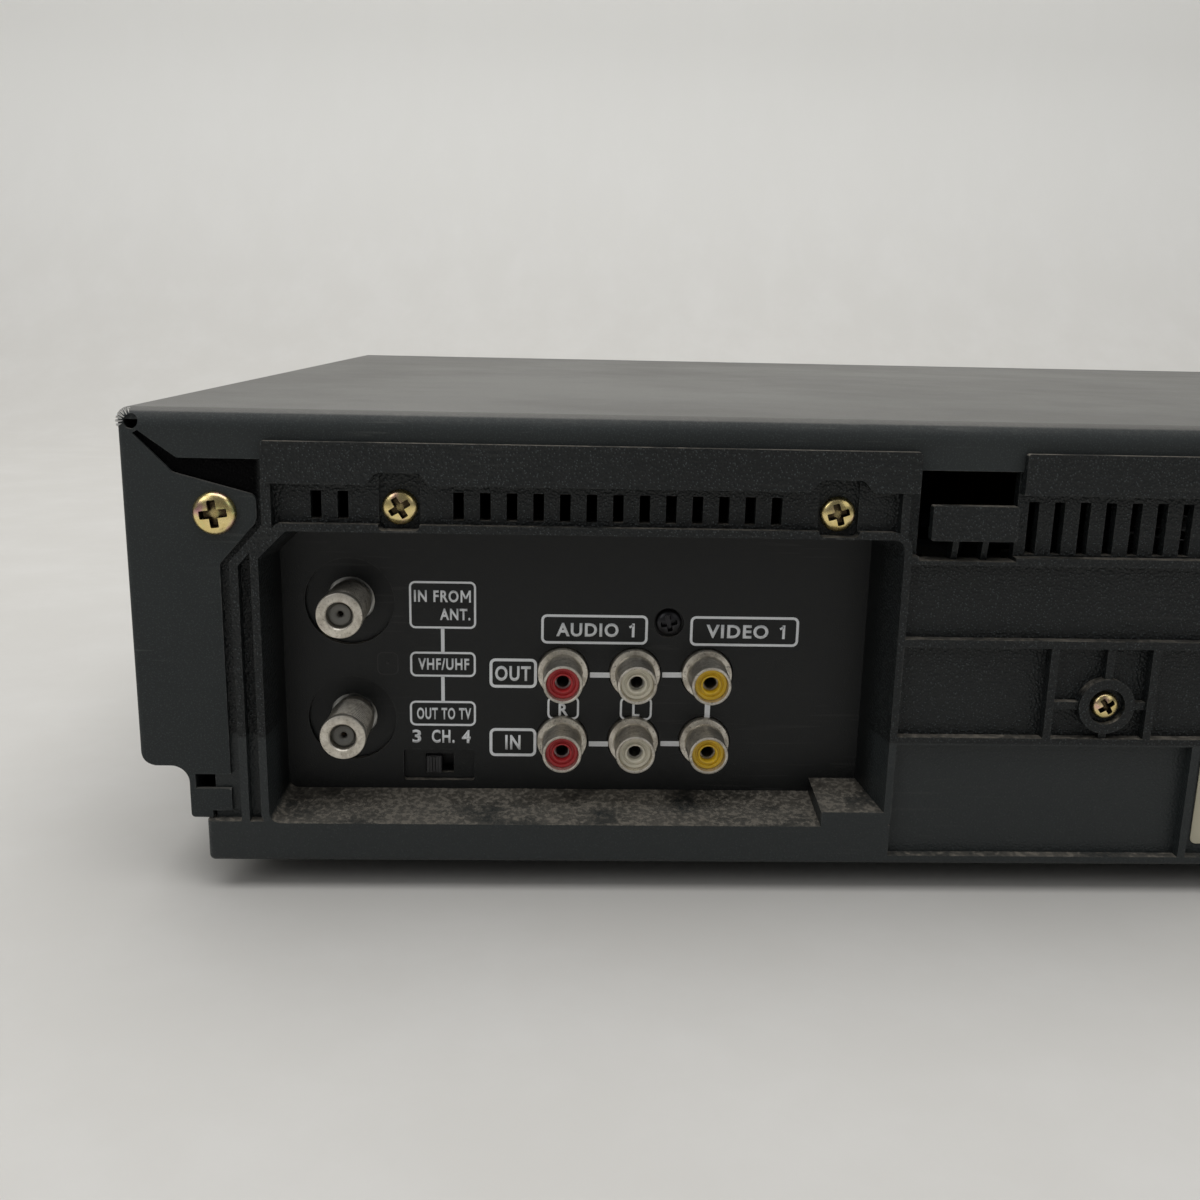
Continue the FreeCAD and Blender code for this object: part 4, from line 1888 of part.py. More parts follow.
def carriage_rails():
    """Side rails of the carriage, slotted for the sliders and bridged at the rear."""
    near = cage_half() + 2 * CARRIAGE_SHEET + 2 * SLIDER_GAP
    far = near + RAIL_SHEET
    front, rear = deck_front(), RAIL_END_Y
    top = runner_z() + 5
    half_slot = STUD_RADIUS + FIT_GAP
    shapes = []
    tools = []
    for side in (-1, 1):
        x0, x1 = DECK_X + side * near, DECK_X + side * far
        wall = prism_x([(front, DECK_TOP), (rear, DECK_TOP), (rear, top, 4), (front, top, 4)],
                       min(x0, x1), max(x0, x1))
        foot_far = DECK_X + side * (far + 6)
        shapes += [wall, box(x0, foot_far, front + 6, rear - 6, DECK_TOP, DECK_TOP + RAIL_SHEET)]
        slot = [(runner_places()[0] - half_slot, runner_z() - half_slot, half_slot - 0.01),
                (runner_places()[1] + carriage_travel() + half_slot, runner_z() - half_slot, half_slot - 0.01),
                (runner_places()[1] + carriage_travel() + half_slot, runner_z() + half_slot, half_slot - 0.01),
                (runner_places()[0] - half_slot, runner_z() + half_slot, half_slot - 0.01)]
        tools.append(prism_x(slot, min(x0, x1) - 1, max(x0, x1) + 1))
        window = [(front + 14, DECK_TOP + 10, 6), (rear - 14, DECK_TOP + 10, 6),
                  (rear - 14, runner_z() - 10, 6), (front + 14, runner_z() - 10, 6)]
        tools.append(prism_x(window, min(x0, x1) - 1, max(x0, x1) + 1))
    shapes.append(box(DECK_X - far, DECK_X + far, rear - 12, rear - 2, top - 0.5, top + RAIL_SHEET - 0.5))
    return cut(join(shapes), tools)


# Screws

def cover_screws():
    """The two large screws that hold the cover's ears."""
    z = BASE_Z + COVER_SCREW_Z
    return group([screw(x, COVER_REAR, z, COVER_SCREW_HEAD) for x in (COVER_SCREW_X, -COVER_SCREW_X)])


def panel_screws():
    """Screws of the rear moulding: two under the hood's arches and two in the bosses."""
    z = BASE_Z + PANEL_SCREW_Z
    screws = [screw(x, BAY_Y - 0.8, z, PANEL_SCREW_HEAD) for x in (SCREW_1_X, SCREW_2_X)]
    screws += [screw(x, BAY_Y + 0.6, z, BOSS_SCREW_HEAD) for x, z in boss_places()]
    return group(screws)


def terminal_screw():
    return screw(TERMINAL_SCREW_X, FLOOR_Y - 0.8, BASE_Z + TERMINAL_SCREW_Z, TERMINAL_SCREW_HEAD)


def build_parts():
    parts = {
        "top_cover": top_cover(),
        "rear_panel": rear_panel(),
        "front_panel": front_panel(),
        "chassis_tray": chassis_tray(),
        "feet": group([foot(x, y) for x, y in foot_places()]),
        "cover_screws": cover_screws(),
        "panel_screws": panel_screws(),
        "terminal_screw": terminal_screw(),
        "cassette_door": cassette_door(),
        "door_spring": door_spring(),
        "display_window": display_window(),
        "front_board": front_board(),
        "channel_rocker": rocker(),
        "front_jack_sleeves": front_jacks(rca_sleeve),
        "front_jack_insulators": front_jacks(rca_insert),
        "rca_sleeves": rca_sleeves(),
        "rca_insulators_yellow": group(rca_column(rca_insert, 0)),
        "rca_insulators_white": group(rca_column(rca_insert, 1)),
        "rca_insulators_red": group(rca_column(rca_insert, 2)),
        "jack_block": jack_block(),
        "rf_connectors": group([rf_connector(x, z) for x, z in rf_places()]),
        "rf_insulators": group([rf_insulator(x, z) for x, z in rf_places()]),
        "tuner_can": tuner_can(),
        "channel_switch_body": channel_switch_body(),
        "channel_switch_knob": channel_switch_knob(),
        "mains_inlet": mains_inlet(),
        "main_board": main_board(),
        "power_board": power_board(),
        "power_transformer": power_transformer(),
        "deck_plate": deck_plate(),
        "supply_reel_table": reel_table(-1),
        "take_up_reel_table": reel_table(1),
        "drum_base": drum_base(),
        "head_drum": head_drum(),
        "capstan_shaft": capstan_shaft(),
        "capstan_flywheel": capstan_flywheel(),
        "clutch": clutch(),
        "drive_belt": drive_belt(),
        "idler_wheel": idler_wheel(),
        "idler_arm": idler_arm(),
        "pinch_arm": pinch_arm(),
        "pinch_roller": pinch_roller(),
        "supply_tape_guide": tape_guide(-1),
        "take_up_tape_guide": tape_guide(1),
        "cam_gear": cam_gear(),
        "loading_motor": loading_motor(),
        "tension_arm": tension_arm(),
        "erase_head": fixed_head(ERASE_HEAD_X, ERASE_HEAD_Y, 9.0),
        "audio_head": fixed_head(AUDIO_HEAD_X, AUDIO_HEAD_Y, 9.0),
        "cassette_basket": cassette_basket(),
        "carriage_sliders": carriage_sliders(),
        "carriage_rails": carriage_rails(),
    }
    for name, place in all_buttons().items():
        parts[name] = push_button(place)
    return parts


def main():
    os.makedirs("parts", exist_ok=True)
    for name, shape in build_parts().items():
        shape.exportStep(f"parts/{name}.step")


main()
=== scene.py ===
import math

import bmesh
import bpy
from mathutils import Matrix, Vector


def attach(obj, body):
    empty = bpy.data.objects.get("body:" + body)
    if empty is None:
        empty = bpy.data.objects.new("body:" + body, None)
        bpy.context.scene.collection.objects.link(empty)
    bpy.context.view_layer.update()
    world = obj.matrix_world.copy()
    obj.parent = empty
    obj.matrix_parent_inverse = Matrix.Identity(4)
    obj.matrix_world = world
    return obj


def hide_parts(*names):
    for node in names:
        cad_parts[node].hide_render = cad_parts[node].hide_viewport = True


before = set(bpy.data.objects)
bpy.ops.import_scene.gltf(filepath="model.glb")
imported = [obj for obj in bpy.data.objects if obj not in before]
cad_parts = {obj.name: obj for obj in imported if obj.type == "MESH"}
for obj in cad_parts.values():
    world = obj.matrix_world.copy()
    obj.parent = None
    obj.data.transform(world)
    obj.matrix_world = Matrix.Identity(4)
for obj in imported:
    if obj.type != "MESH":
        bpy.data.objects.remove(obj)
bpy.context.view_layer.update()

bl_info = {
    "name": "Tape Deck Dresser",
    "version": (1, 0, 0),
    "blender": (4, 5, 0),
    "location": "View3D > Sidebar > Tape deck",
    "description": "Adds the finishes, prints and small pieces of a front-loading video cassette recorder",
    "category": "Object",
}

MM = 0.001
HOUSING = "housing"

# Where things stand, in millimetres: X across, Y from front to rear, Z up
RECESS_FLOOR_Y = 137.5
REAR_BAY_Y = 149.7
AERIAL_X = 174.0
AERIAL_Z = (58.5, 32.9)
PHONO_X = {"yellow": 98.4, "white": 113.8, "red": 129.2}
PHONO_Z = (43.6, 28.4)
AERIAL_ROOT_Y = 134.3
AERIAL_CONTACT_Y = 147.9
PHONO_ROOT_Y = 135.3
PRINT_LIFT = 0.005         # gap between a printed mark and the face under it

# Where the rear moulding's surface changes, and where the painted shade at its upper outer corners begins, as
# (none, full) in metres
RECESS_DEPTH = (0.1470, 0.1400)
LOW_BAY_TOP = (0.0338, 0.0332)
SLOT_SHADE_ACROSS = (0.1880, 0.1895)
SLOT_SHADE_UP = (0.0790, 0.0840)

# Spacing of the nodes in a node tree
COLUMN_WIDTH = 220
ROW_HEIGHT = 260


# Sizes and colours that a user may change

def length_setting(name, description, default):
    return bpy.props.FloatProperty(name=name, description=description, default=default, unit="LENGTH")


def colour_setting(name, description, default):
    return bpy.props.FloatVectorProperty(name=name, description=description, default=default,
                                         subtype="COLOR", size=3, min=0, max=1)


class DeckSizes(bpy.types.PropertyGroup):
    """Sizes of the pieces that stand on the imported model."""

    thread_pitch: length_setting("Thread pitch", "Pitch of the aerial sockets' thread", 0.794 * MM)
    thread_depth: length_setting("Thread depth", "Depth of the aerial sockets' thread", 0.42 * MM)
    print_thickness: length_setting(
        "Print thickness", "How far the printed marks stand off the moulding", 0.04 * MM)
    frame_line: length_setting("Frame line", "Width of the printed frames' line", 0.5 * MM)
    plate_width: length_setting("Plate width", "Width of the blank plate on the rear", 64.0 * MM)
    plate_height: length_setting("Plate height", "Height of the blank plate on the rear", 21.0 * MM)


class DeckColours(bpy.types.PropertyGroup):
    """Colours of the deck's finishes."""

    cover: colour_setting("Cover paint", "Paint of the sheet cover", (0.034, 0.038, 0.0385))
    rear: colour_setting(
        "Rear moulding", "Plastic of the rear moulding and the chassis", (0.0085, 0.0100, 0.0103))
    bezel: colour_setting("Front bezel", "Plastic of the front bezel", (0.014, 0.0145, 0.016))
    button: colour_setting("Buttons", "Plastic of the push buttons", (0.03, 0.031, 0.034))
    marks: colour_setting("Printed marks", "Ink of the printed marks", (0.88, 0.90, 0.92))
    red: colour_setting("Red insulator", "Right-channel phono insulator", (0.44, 0.022, 0.026))
    white: colour_setting("White insulator", "Left-channel phono insulator", (0.68, 0.64, 0.52))
    yellow: colour_setting("Yellow insulator", "Video phono insulator", (0.72, 0.46, 0.02))


def sizes():
    return bpy.context.scene.deck_sizes


def colours():
    return bpy.context.scene.deck_colours


def shade(colour, share, lift=0.0):
    """A colour made lighter or darker, never above white."""
    return tuple(min(channel * share + lift, 1.0) for channel in colour)


# Node trees

class Nodes:
    """A node tree in the making, with short ways to add and link its nodes."""

    def __init__(self, tree, where=None):
        self.tree = tree
        self.where = where

    def feed(self, value, target):
        """Links a socket to an input, or sets the input to a number, a vector or a colour."""
        if isinstance(value, bpy.types.NodeSocket):
            self.tree.links.new(value, target)
        elif target.type == "RGBA":
            target.default_value = tuple(value)[:3] + (1.0,)
        else:
            target.default_value = value

    def add(self, kind, inputs=None, **settings):
        """A node with its settings, and with its inputs by name or number."""
        made = self.tree.nodes.new("ShaderNode" + kind)
        for key, value in settings.items():
            setattr(made, key, value)
        for key, value in (inputs or {}).items():
            self.feed(value, made.inputs[key])
        return made

    def chain(self, operation, *values):
        """Sockets or numbers taken through Math nodes, two at a time from the left."""
        total = values[0]
        for value in values[1:]:
            total = self.add("Math", {0: total, 1: value}, operation=operation).outputs[0]
        return total

    def times(self, *values):
        return self.chain("MULTIPLY", *values)

    def line(self, value, slope, start):
        """A value times a slope, plus a start."""
        return self.add("Math", {0: value, 1: slope, 2: start}, operation="MULTIPLY_ADD").outputs[0]

    def mix(self, factor, first, second):
        """A number between two others."""
        return self.add("Mix", {0: factor, 2: first, 3: second}, data_type="FLOAT").outputs[0]

    def blend(self, factor, first, second):
        """A colour between two others, each a socket or a tuple."""
        return self.add("Mix", {0: factor, 6: first, 7: second}, data_type="RGBA").outputs[2]

    def ramp(self, value, low, high):
        """A smooth step of a value between two limits."""
        return self.add("MapRange", {"Value": value, "From Min": low, "From Max": high},
                        interpolation_type="SMOOTHSTEP").outputs["Result"]

    def noise(self, scale, detail=2.0, rough=0.5, where=None):
        return self.add("TexNoise", {"Vector": where or self.where, "Scale": scale, "Detail": detail,
                                     "Roughness": rough}).outputs["Fac"]

    def spots(self, scale, detail, rough, low, high):
        """Soft-edged patches: a smooth step of noise."""
        return self.ramp(self.noise(scale, detail, rough), low, high)

    def mapped(self, scale, rotation=(0.0, 0.0, 0.0)):
        """The coordinates, stretched and turned."""
        return self.add("Mapping", {"Vector": self.where, "Scale": scale, "Rotation": rotation}).outputs[0]

    def parts(self, vector=None):
        """The X, Y and Z of a vector, or of the coordinates."""
        return self.add("SeparateXYZ", {"Vector": vector or self.where}).outputs

    def colour_bands(self, factor, stops, interpolation="LINEAR"):
        """Colours at places along a band; a value picks one."""
        made = self.add("ValToRGB", {"Fac": factor})
        made.color_ramp.interpolation = interpolation
        elements = made.color_ramp.elements
        for index, (position, colour) in enumerate(stops):
            element = elements[index] if index < len(elements) else elements.new(position)
            element.position = position
            element.color = colour + (1,)
        return made.outputs["Color"]

    def effect(self, name, **values):
        """The outputs of a shared effect, which is built once and then found by name."""
        if name not in bpy.data.node_groups:
            EFFECTS[name](name)
        made = self.add("Group", node_tree=bpy.data.node_groups[name])
        self.feed(self.where, made.inputs["Vector"])
        for key, value in values.items():
            self.feed(value, made.inputs[key])
        return made.outputs

    def arrange(self):
        """Lays the nodes out in columns, each to the left of whatever it feeds."""
        column = {item.name: 0 for item in self.tree.nodes}
        for _ in column:
            for wire in self.tree.links:
                before, after = wire.from_node.name, wire.to_node.name
                column[before] = max(column[before], column[after] + 1)
        rows = [0] * len(column)
        for item in self.tree.nodes:
            level = column[item.name]
            item.location = (-COLUMN_WIDTH * level, -ROW_HEIGHT * rows[level])
            rows[level] += 1


# Shared effects, as node groups that put out masks and heights

def new_group(name, inputs, outputs):
    """A node group with a vector input, number inputs with their defaults, and number outputs."""
    tree = bpy.data.node_groups.new(name, "ShaderNodeTree")
    tree.interface.new_socket(name="Vector", in_out="INPUT", socket_type="NodeSocketVector")
    for key, default in inputs.items():
        made = tree.interface.new_socket(name=key, in_out="INPUT", socket_type="NodeSocketFloat")
        made.default_value = default
    for key in outputs:
        tree.interface.new_socket(name=key, in_out="OUTPUT", socket_type="NodeSocketFloat")
    start = tree.nodes.new("NodeGroupInput").outputs
    end = tree.nodes.new("NodeGroupOutput").inputs
    return Nodes(tree, start["Vector"]), start, end


def grain_group(name):
    """Moulded grain: rounded pebbles of two sizes over a slow unevenness."""
    nodes, start, end = new_group(name, {"Scale": 1800.0}, ("Height", "Slow"))
    cells = nodes.add("TexVoronoi", {"Smoothness": 0.6, "Vector": nodes.where, "Scale": start["Scale"]},
                      feature="SMOOTH_F1")
    pebbles = nodes.chain("SUBTRACT", 1.0, cells.outputs["Distance"])
    fine = nodes.noise(nodes.times(start["Scale"], 1.7), 3.0)
    nodes.feed(nodes.chain("ADD", nodes.times(pebbles, 0.7), nodes.times(fine, 0.3)), end["Height"])
    nodes.feed(nodes.noise(14.0, 4.0, 0.6), end["Slow"])
    nodes.arrange()


def wear_group(name):
    """Rubbed edges: a broken mask along the convex edges of a surface."""
    nodes, start, end = new_group(name, {"Width": 0.0006, "Amount": 1.0}, ("Mask",))
    inside = nodes.add("AmbientOcclusion", {"Distance": start["Width"]}, samples=8, inside=True,
                       only_local=True)
    edge = nodes.ramp(nodes.chain("SUBTRACT", 1.0, inside.outputs["AO"]), 0.30, 0.75)
    nodes.feed(nodes.times(edge, nodes.spots(420.0, 5.0, 0.7, 0.42, 0.62), start["Amount"]), end["Mask"])
    nodes.arrange()


def dust_group(name):
    """Settled dust: patchy, and only on what faces up."""
    nodes, start, end = new_group(name, {"Amount": 0.5}, ("Mask", "Up"))
    up = nodes.ramp(nodes.parts(nodes.add("NewGeometry").outputs["Normal"])["Z"], 0.30, 0.85)
    patches = nodes.spots(60.0, 6.0, 0.65, 0.30, 0.56)
    specks = nodes.spots(900.0, 3.0, 0.6, 0.44, 0.7)
    cover = nodes.times(patches, nodes.chain("ADD", specks, 0.45))
    nodes.feed(nodes.times(up, cover, start["Amount"]), end["Mask"])
    nodes.feed(up, end["Up"])
    nodes.arrange()


def scratch_group(name):
    """Fine scratches: hair-thin streaks, in patches, that run in slightly different ways."""
    nodes, start, end = new_group(name, {"Amount": 0.3}, ("Mask",))
    streaks = []
    for turn, stretch in ((0.35, 60.0), (-0.8, 45.0), (1.35, 75.0)):
        spun = nodes.mapped((stretch, 1300.0, 1300.0), (turn * 0.6, turn, turn * 0.8))
        streaks.append(nodes.ramp(nodes.noise(1.0, 0.0, 0.4, spun), 0.74, 0.79))
    total = nodes.chain("MAXIMUM", *streaks)
    nodes.feed(nodes.times(total, nodes.spots(22.0, 1.0, 0.5, 0.52, 0.66), start["Amount"]), end["Mask"])
    nodes.arrange()


EFFECTS = {"Moulded grain": grain_group, "Rubbed edges": wear_group, "Settled dust": dust_group,
           "Fine scratches": scratch_group}


# Finishes

class Finish(Nodes):
    """A material in the making: nodes round its Principled shader."""

    def __init__(self, name):
        self.material = bpy.data.materials.new(name)
        self.material.use_nodes = True
        super().__init__(self.material.node_tree)
        self.where = self.add("TexCoord").outputs["Object"]

    def done(self, colour, rough, bump=None, others=None):
        """Feeds the shader; a bump is its height, strength and distance."""
        shader = self.tree.nodes["Principled BSDF"].inputs
        for key, value in {"Base Color": colour, "Roughness": rough, **(others or {})}.items():
            self.feed(value, shader[key])
        if bump:
            height, strength, distance = bump
            made = self.add("Bump", {"Height": height, "Strength": strength, "Distance": distance})
            self.feed(made.outputs["Normal"], shader["Normal"])
        self.arrange()
        return self.material


def cover_paint():
    """Fine-textured charcoal paint on sheet steel with painted glints on its grain, rubbed at its edges,
    dusty on top.
    """
    paint = Finish("cover_paint")
    base = colours().cover
    grain = paint.effect("Moulded grain", Scale=2600.0)
    wear = paint.effect("Rubbed edges", Width=0.0007, Amount=0.55)
    scratches = paint.effect("Fine scratches", Amount=0.14)
    dust = paint.effect("Settled dust", Amount=0.08)
    tone = paint.blend(paint.ramp(grain["Slow"], 0.3, 0.7), base, shade(base, 1.22))
    # Painted glints: lighter specks painted into the colour on the grain's peaks, standing in for light
    # sparkling off the textured paint.
    specks = paint.times(paint.ramp(grain["Height"], 0.52, 0.86), 0.55)
    tone = paint.blend(specks, tone, shade(base, 2.2))
    flat = paint.chain("POWER", dust["Up"], 40.0)
    tone = paint.blend(paint.line(flat, 0.34, dust["Mask"]), tone, (0.23, 0.215, 0.19))
    tone = paint.blend(paint.chain("MAXIMUM", wear["Mask"], scratches["Mask"]), tone, (0.2, 0.2, 0.19))
    rough = paint.line(paint.spots(9.0, 5.0, 0.65, 0.3, 0.75), 0.12, 0.37)
    return paint.done(tone, rough, (grain["Height"], 0.5, 0.0001),
                      {"Specular IOR Level": paint.line(flat, 0.14, 0.09)})


def rear_plastic():
    """Black moulding: coarse grain with painted glints outside the recess, smooth and dusty in it, and
    painted shade at its upper outer corners.
    """
    plastic = Finish("rear_plastic")
    base = colours().rear
    spot = plastic.parts()
    deep = plastic.ramp(spot["Y"], *RECESS_DEPTH)
    low = plastic.ramp(spot["Z"], *LOW_BAY_TOP)
    bay = plastic.times(low, plastic.chain("SUBTRACT", 1.0, deep))
    smooth = plastic.chain("MAXIMUM", deep, plastic.times(bay, 0.55))
    grain = plastic.effect("Moulded grain", Scale=1900.0)
    fine = plastic.effect("Moulded grain", Scale=5200.0)
    wear = plastic.effect("Rubbed edges", Width=0.0007, Amount=0.75)
    dust = plastic.effect("Settled dust", Amount=1.1)
    scratches = plastic.effect("Fine scratches", Amount=0.1)
    tone = plastic.blend(plastic.ramp(grain["Slow"], 0.3, 0.7), base, shade(base, 1.35))
    tone = plastic.blend(bay, tone, shade(base, 2.9))
    tone = plastic.blend(plastic.times(deep, 0.65), tone, (0.0042, 0.0048, 0.0050))
    coarse = plastic.chain("SUBTRACT", 1.0, smooth)
    # Painted glints: lighter specks painted into the colour where the grain's pebbles peak, standing in for
    # light sparkling off the coarse grain.
    painted_glints = plastic.times(plastic.ramp(grain["Height"], 0.62, 0.78), coarse)
    tone = plastic.blend(painted_glints, tone, shade(base, 6.5))
    marks = plastic.chain("MAXIMUM", wear["Mask"], scratches["Mask"])
    tone = plastic.blend(marks, tone, (0.085, 0.085, 0.08))
    tone = plastic.blend(dust["Mask"], tone, (0.185, 0.168, 0.14))
    # Painted shade: the upper outer corners get a near-black colour and a turned-down reflection (the
    # specular level at the end), standing in for the darkness seen through the corner slot.
    outer = plastic.ramp(plastic.chain("ABSOLUTE", spot["X"], 0.0), *SLOT_SHADE_ACROSS)
    corner = plastic.times(outer, plastic.ramp(spot["Z"], *SLOT_SHADE_UP))
    tone = plastic.blend(corner, tone, (0.0012, 0.0012, 0.0014))
    rough = plastic.chain("MAXIMUM", plastic.mix(smooth, 0.42, 0.36), dust["Mask"])
    height = plastic.mix(smooth, grain["Height"], plastic.times(fine["Height"], 0.12))
    return plastic.done(tone, rough, (height, 1.0, 0.00035),
                        {"Specular IOR Level": plastic.line(corner, -0.28, 0.32)})


def plain_plastic(name, base, rough, scale, strength, wear_amount=0.15, dust_amount=0.05):
    """Moulded plastic with an even grain and a little wear and dust."""
    plastic = Finish(name)
    grain = plastic.effect("Moulded grain", Scale=scale)
    wear = plastic.effect("Rubbed edges", Width=0.0005, Amount=wear_amount)
    dust = plastic.effect("Settled dust", Amount=dust_amount)
    tone = plastic.blend(plastic.ramp(grain["Slow"], 0.3, 0.7), base, shade(base, 1.18, 0.002))
    tone = plastic.blend(wear["Mask"], tone, shade(base, 1.5, 0.05))
    tone = plastic.blend(dust["Mask"], tone, (0.2, 0.18, 0.15))
    return plastic.done(tone, plastic.line(grain["Slow"], 0.12, rough - 0.06),
                        (grain["Height"], strength, 0.0001))


def plain_metal(name, base, rough, brushed=None, stain=0.25):
    """Bare or plated metal: uneven polish, faint stains, and brushing where asked."""
    metal = Finish(name)
    patches = metal.spots(220.0, 5.0, 0.65, 0.35, 0.72)
    tone = metal.blend(metal.times(patches, stain), base, shade(base, 0.62))
    if brushed:
        fine = metal.noise(1.0, 4.0, 0.6, metal.mapped(brushed))
    else:
        fine = metal.noise(1500.0, 3.0, 0.6)
    uneven = metal.line(patches, 0.1, metal.line(fine, 0.22, rough - 0.08))
    return metal.done(tone, uneven, (fine, 0.08, 0.00005), {"Metallic": 1.0})


def zinc_plate():
    """Yellow-passivated zinc: straw gold that drifts to green and violet, with painted shade in its recesses.
    """
    metal = Finish("yellow_zinc")
    tone = metal.colour_bands(metal.noise(260.0, 3.0, 0.55), (
        (0.28, (0.62, 0.72, 0.34)), (0.72, (0.78, 0.42, 0.44)),
        (0.42, (0.83, 0.66, 0.28)), (0.56, (0.90, 0.74, 0.36))))
    grime = metal.spots(700.0, 5.0, 0.7, 0.5, 0.8)
    tone = metal.blend(metal.times(grime, 0.45), tone, (0.2, 0.15, 0.08))
    # Painted shade: the colour turns dark brown where the surface is hemmed in, as inside the cross drive,
    # standing in for the shade there.
    recess = metal.add("AmbientOcclusion", {"Distance": 0.002}, samples=8, only_local=True)
    tone = metal.blend(metal.ramp(recess.outputs["AO"], 0.92, 0.62), tone, (0.05, 0.036, 0.02))
    return metal.done(tone, metal.line(grime, 0.25, 0.27), (metal.noise(2400.0, 3.0, 0.6), 0.12, 0.00005),
                      {"Metallic": 1.0})


def tarnished_nickel():
    """Nickel plate gone dull and speckled, warm where it is stained."""
    metal = Finish("tarnished_nickel")
    patches = metal.spots(420.0, 6.0, 0.7, 0.38, 0.68)
    pits = metal.spots(1900.0, 4.0, 0.65, 0.56, 0.7)
    tone = metal.blend(patches, (0.76, 0.72, 0.64), (0.50, 0.46, 0.39))
    tone = metal.blend(metal.times(pits, 0.7), tone, (0.1, 0.088, 0.07))
    rough = metal.chain("MAXIMUM", metal.line(patches, 0.16, 0.42), metal.times(pits, 0.6))
    return metal.done(tone, rough, (metal.chain("SUBTRACT", patches, pits), 0.18, 0.00006), {"Metallic": 1.0})


def insulator(name, base):
    """Glossy coloured plastic round a phono socket's hole."""
    plastic = Finish(name)
    stain = plastic.spots(380.0, 4.0, 0.6, 0.35, 0.75)
    tone = plastic.blend(plastic.times(stain, 0.45), base, shade(base, 0.6))
    return plastic.done(tone, plastic.line(stain, 0.15, 0.28), (plastic.noise(1800.0), 0.05, 0.00005))


def ink(name, base):
    """Screen-printed ink, a little thin in places."""
    print_ink = Finish(name)
    thin = print_ink.spots(1300.0, 4.0, 0.65, 0.4, 0.8)
    tone = print_ink.blend(print_ink.times(thin, 0.16), base, shade(base, 0.45))
    return print_ink.done(tone, 0.55, (thin, 0.08, 0.00003))


def plate_paper():
    """Pale printed-plate stock, left blank, faintly aged."""
    paper = Finish("plate_stock")
    tone = paper.blend(paper.spots(45.0, 5.0, 0.6, 0.3, 0.8), (0.62, 0.58, 0.44), (0.5, 0.46, 0.33))
    return paper.done(tone, 0.45, (paper.noise(900.0, 3.0, 0.6), 0.06, 0.00005))


def circuit_board(name, axis, level):
    """Brown laminate with dim tracks; what stands above a level on an axis is dark or coloured parts."""
    board = Finish(name + "_laminate")
    tracks = board.add("TexBrick", {
        "Vector": board.where, "Scale": 130.0, "Mortar Size": 0.028, "Color1": (0.19, 0.11, 0.045),
        "Color2": (0.165, 0.1, 0.04), "Mortar": (0.30, 0.21, 0.10)}, offset=0.35, squash=1.6).outputs
    above = board.ramp(board.parts()[axis], level - 0.0001, level + 0.0001)
    cells = board.add("TexVoronoi", {"Vector": board.where, "Scale": 55.0}).outputs["Color"]
    kinds = board.colour_bands(cells, ((0.0, (0.018, 0.018, 0.02)), (0.78, (0.03, 0.06, 0.16))), "CONSTANT")
    slow = board.times(board.spots(25.0, 3.0, 0.5, 0.3, 0.7), 0.4)
    tone = board.blend(slow, tracks["Color"], (0.12, 0.07, 0.03))
    return board.done(board.blend(above, tone, kinds), 0.42, (tracks["Fac"], 0.15, 0.00005))


def smoked_window():
    """Smoked clear plastic over the display."""
    window = Finish("smoked_window")
    smear = window.spots(30.0, 5.0, 0.65, 0.35, 0.8)
    tone = window.blend(smear, (0.26, 0.23, 0.22), (0.31, 0.28, 0.26))
    return window.done(tone, window.line(smear, 0.06, 0.05), None,
                       {"Transmission Weight": 0.85, "IOR": 1.49})


def stage_paper(floor, wall):
    """Pale matt paper: a floor tone that turns into a lighter, faintly streaked wall."""
    paper = Finish("stage_paper")
    tone = paper.blend(paper.ramp(paper.parts()["Z"], 0.0, 0.4), floor, wall)
    mottle = paper.noise(2.6, 6.0, 0.62, paper.mapped((9.0, 9.0, 2.2)))
    tone = paper.blend(paper.times(paper.ramp(mottle, 0.35, 0.8), 0.1), tone, (1.0, 1.0, 1.0))
    return paper.done(tone, 0.85, None, {"Specular IOR Level": 0.2})


# Modelling by hand, in code

def settle_selection():
    """Leaves edit mode and deselects everything."""
    if bpy.context.object and bpy.context.object.mode != "OBJECT":
        bpy.ops.object.mode_set(mode="OBJECT")
    bpy.ops.object.select_all(action="DESELECT")


def activate(obj):
    """Makes one object the only selected and active one."""
    settle_selection()
    obj.select_set(True)
    bpy.context.view_layer.objects.active = obj


def named(name):
    """Names the object that an operator has just added."""
    obj = bpy.context.object
    obj.name = name
    obj.data.name = name
    return obj


def fresh(kind, name, **settings):
    """A new mesh primitive at the origin, with its name."""
    settle_selection()
    getattr(bpy.ops.mesh, "primitive_" + kind + "_add")(location=(0, 0, 0), **settings)
    return named(name)


def choose_all(obj, kind="FACE", action="SELECT"):
    """Goes into edit mode and selects every face, edge or vertex, or none."""
    bpy.context.view_layer.objects.active = obj
    if obj.mode != "EDIT":
        bpy.ops.object.mode_set(mode="EDIT")
    bpy.ops.mesh.select_mode(type=kind)
    bpy.ops.mesh.select_all(action=action)


def choose(obj, test, kind="FACE"):
    """In edit mode, selects the faces, edges or vertices whose middle and direction pass a test."""
    choose_all(obj, kind, "DESELECT")
    mesh = bmesh.from_edit_mesh(obj.data)
    mesh.normal_update()
    for item in {"FACE": mesh.faces, "EDGE": mesh.edges, "VERT": mesh.verts}[kind]:
        if kind == "FACE":
            middle, way = item.calc_center_median(), item.normal
        elif kind == "EDGE":
            start, end = item.verts[0].co, item.verts[1].co
            middle, way = (start + end) / 2, end - start
        else:
            middle, way = item.co, item.normal
        item.select_set(bool(test(middle, way)))
    mesh.select_flush_mode()
    bmesh.update_edit_mesh(obj.data)


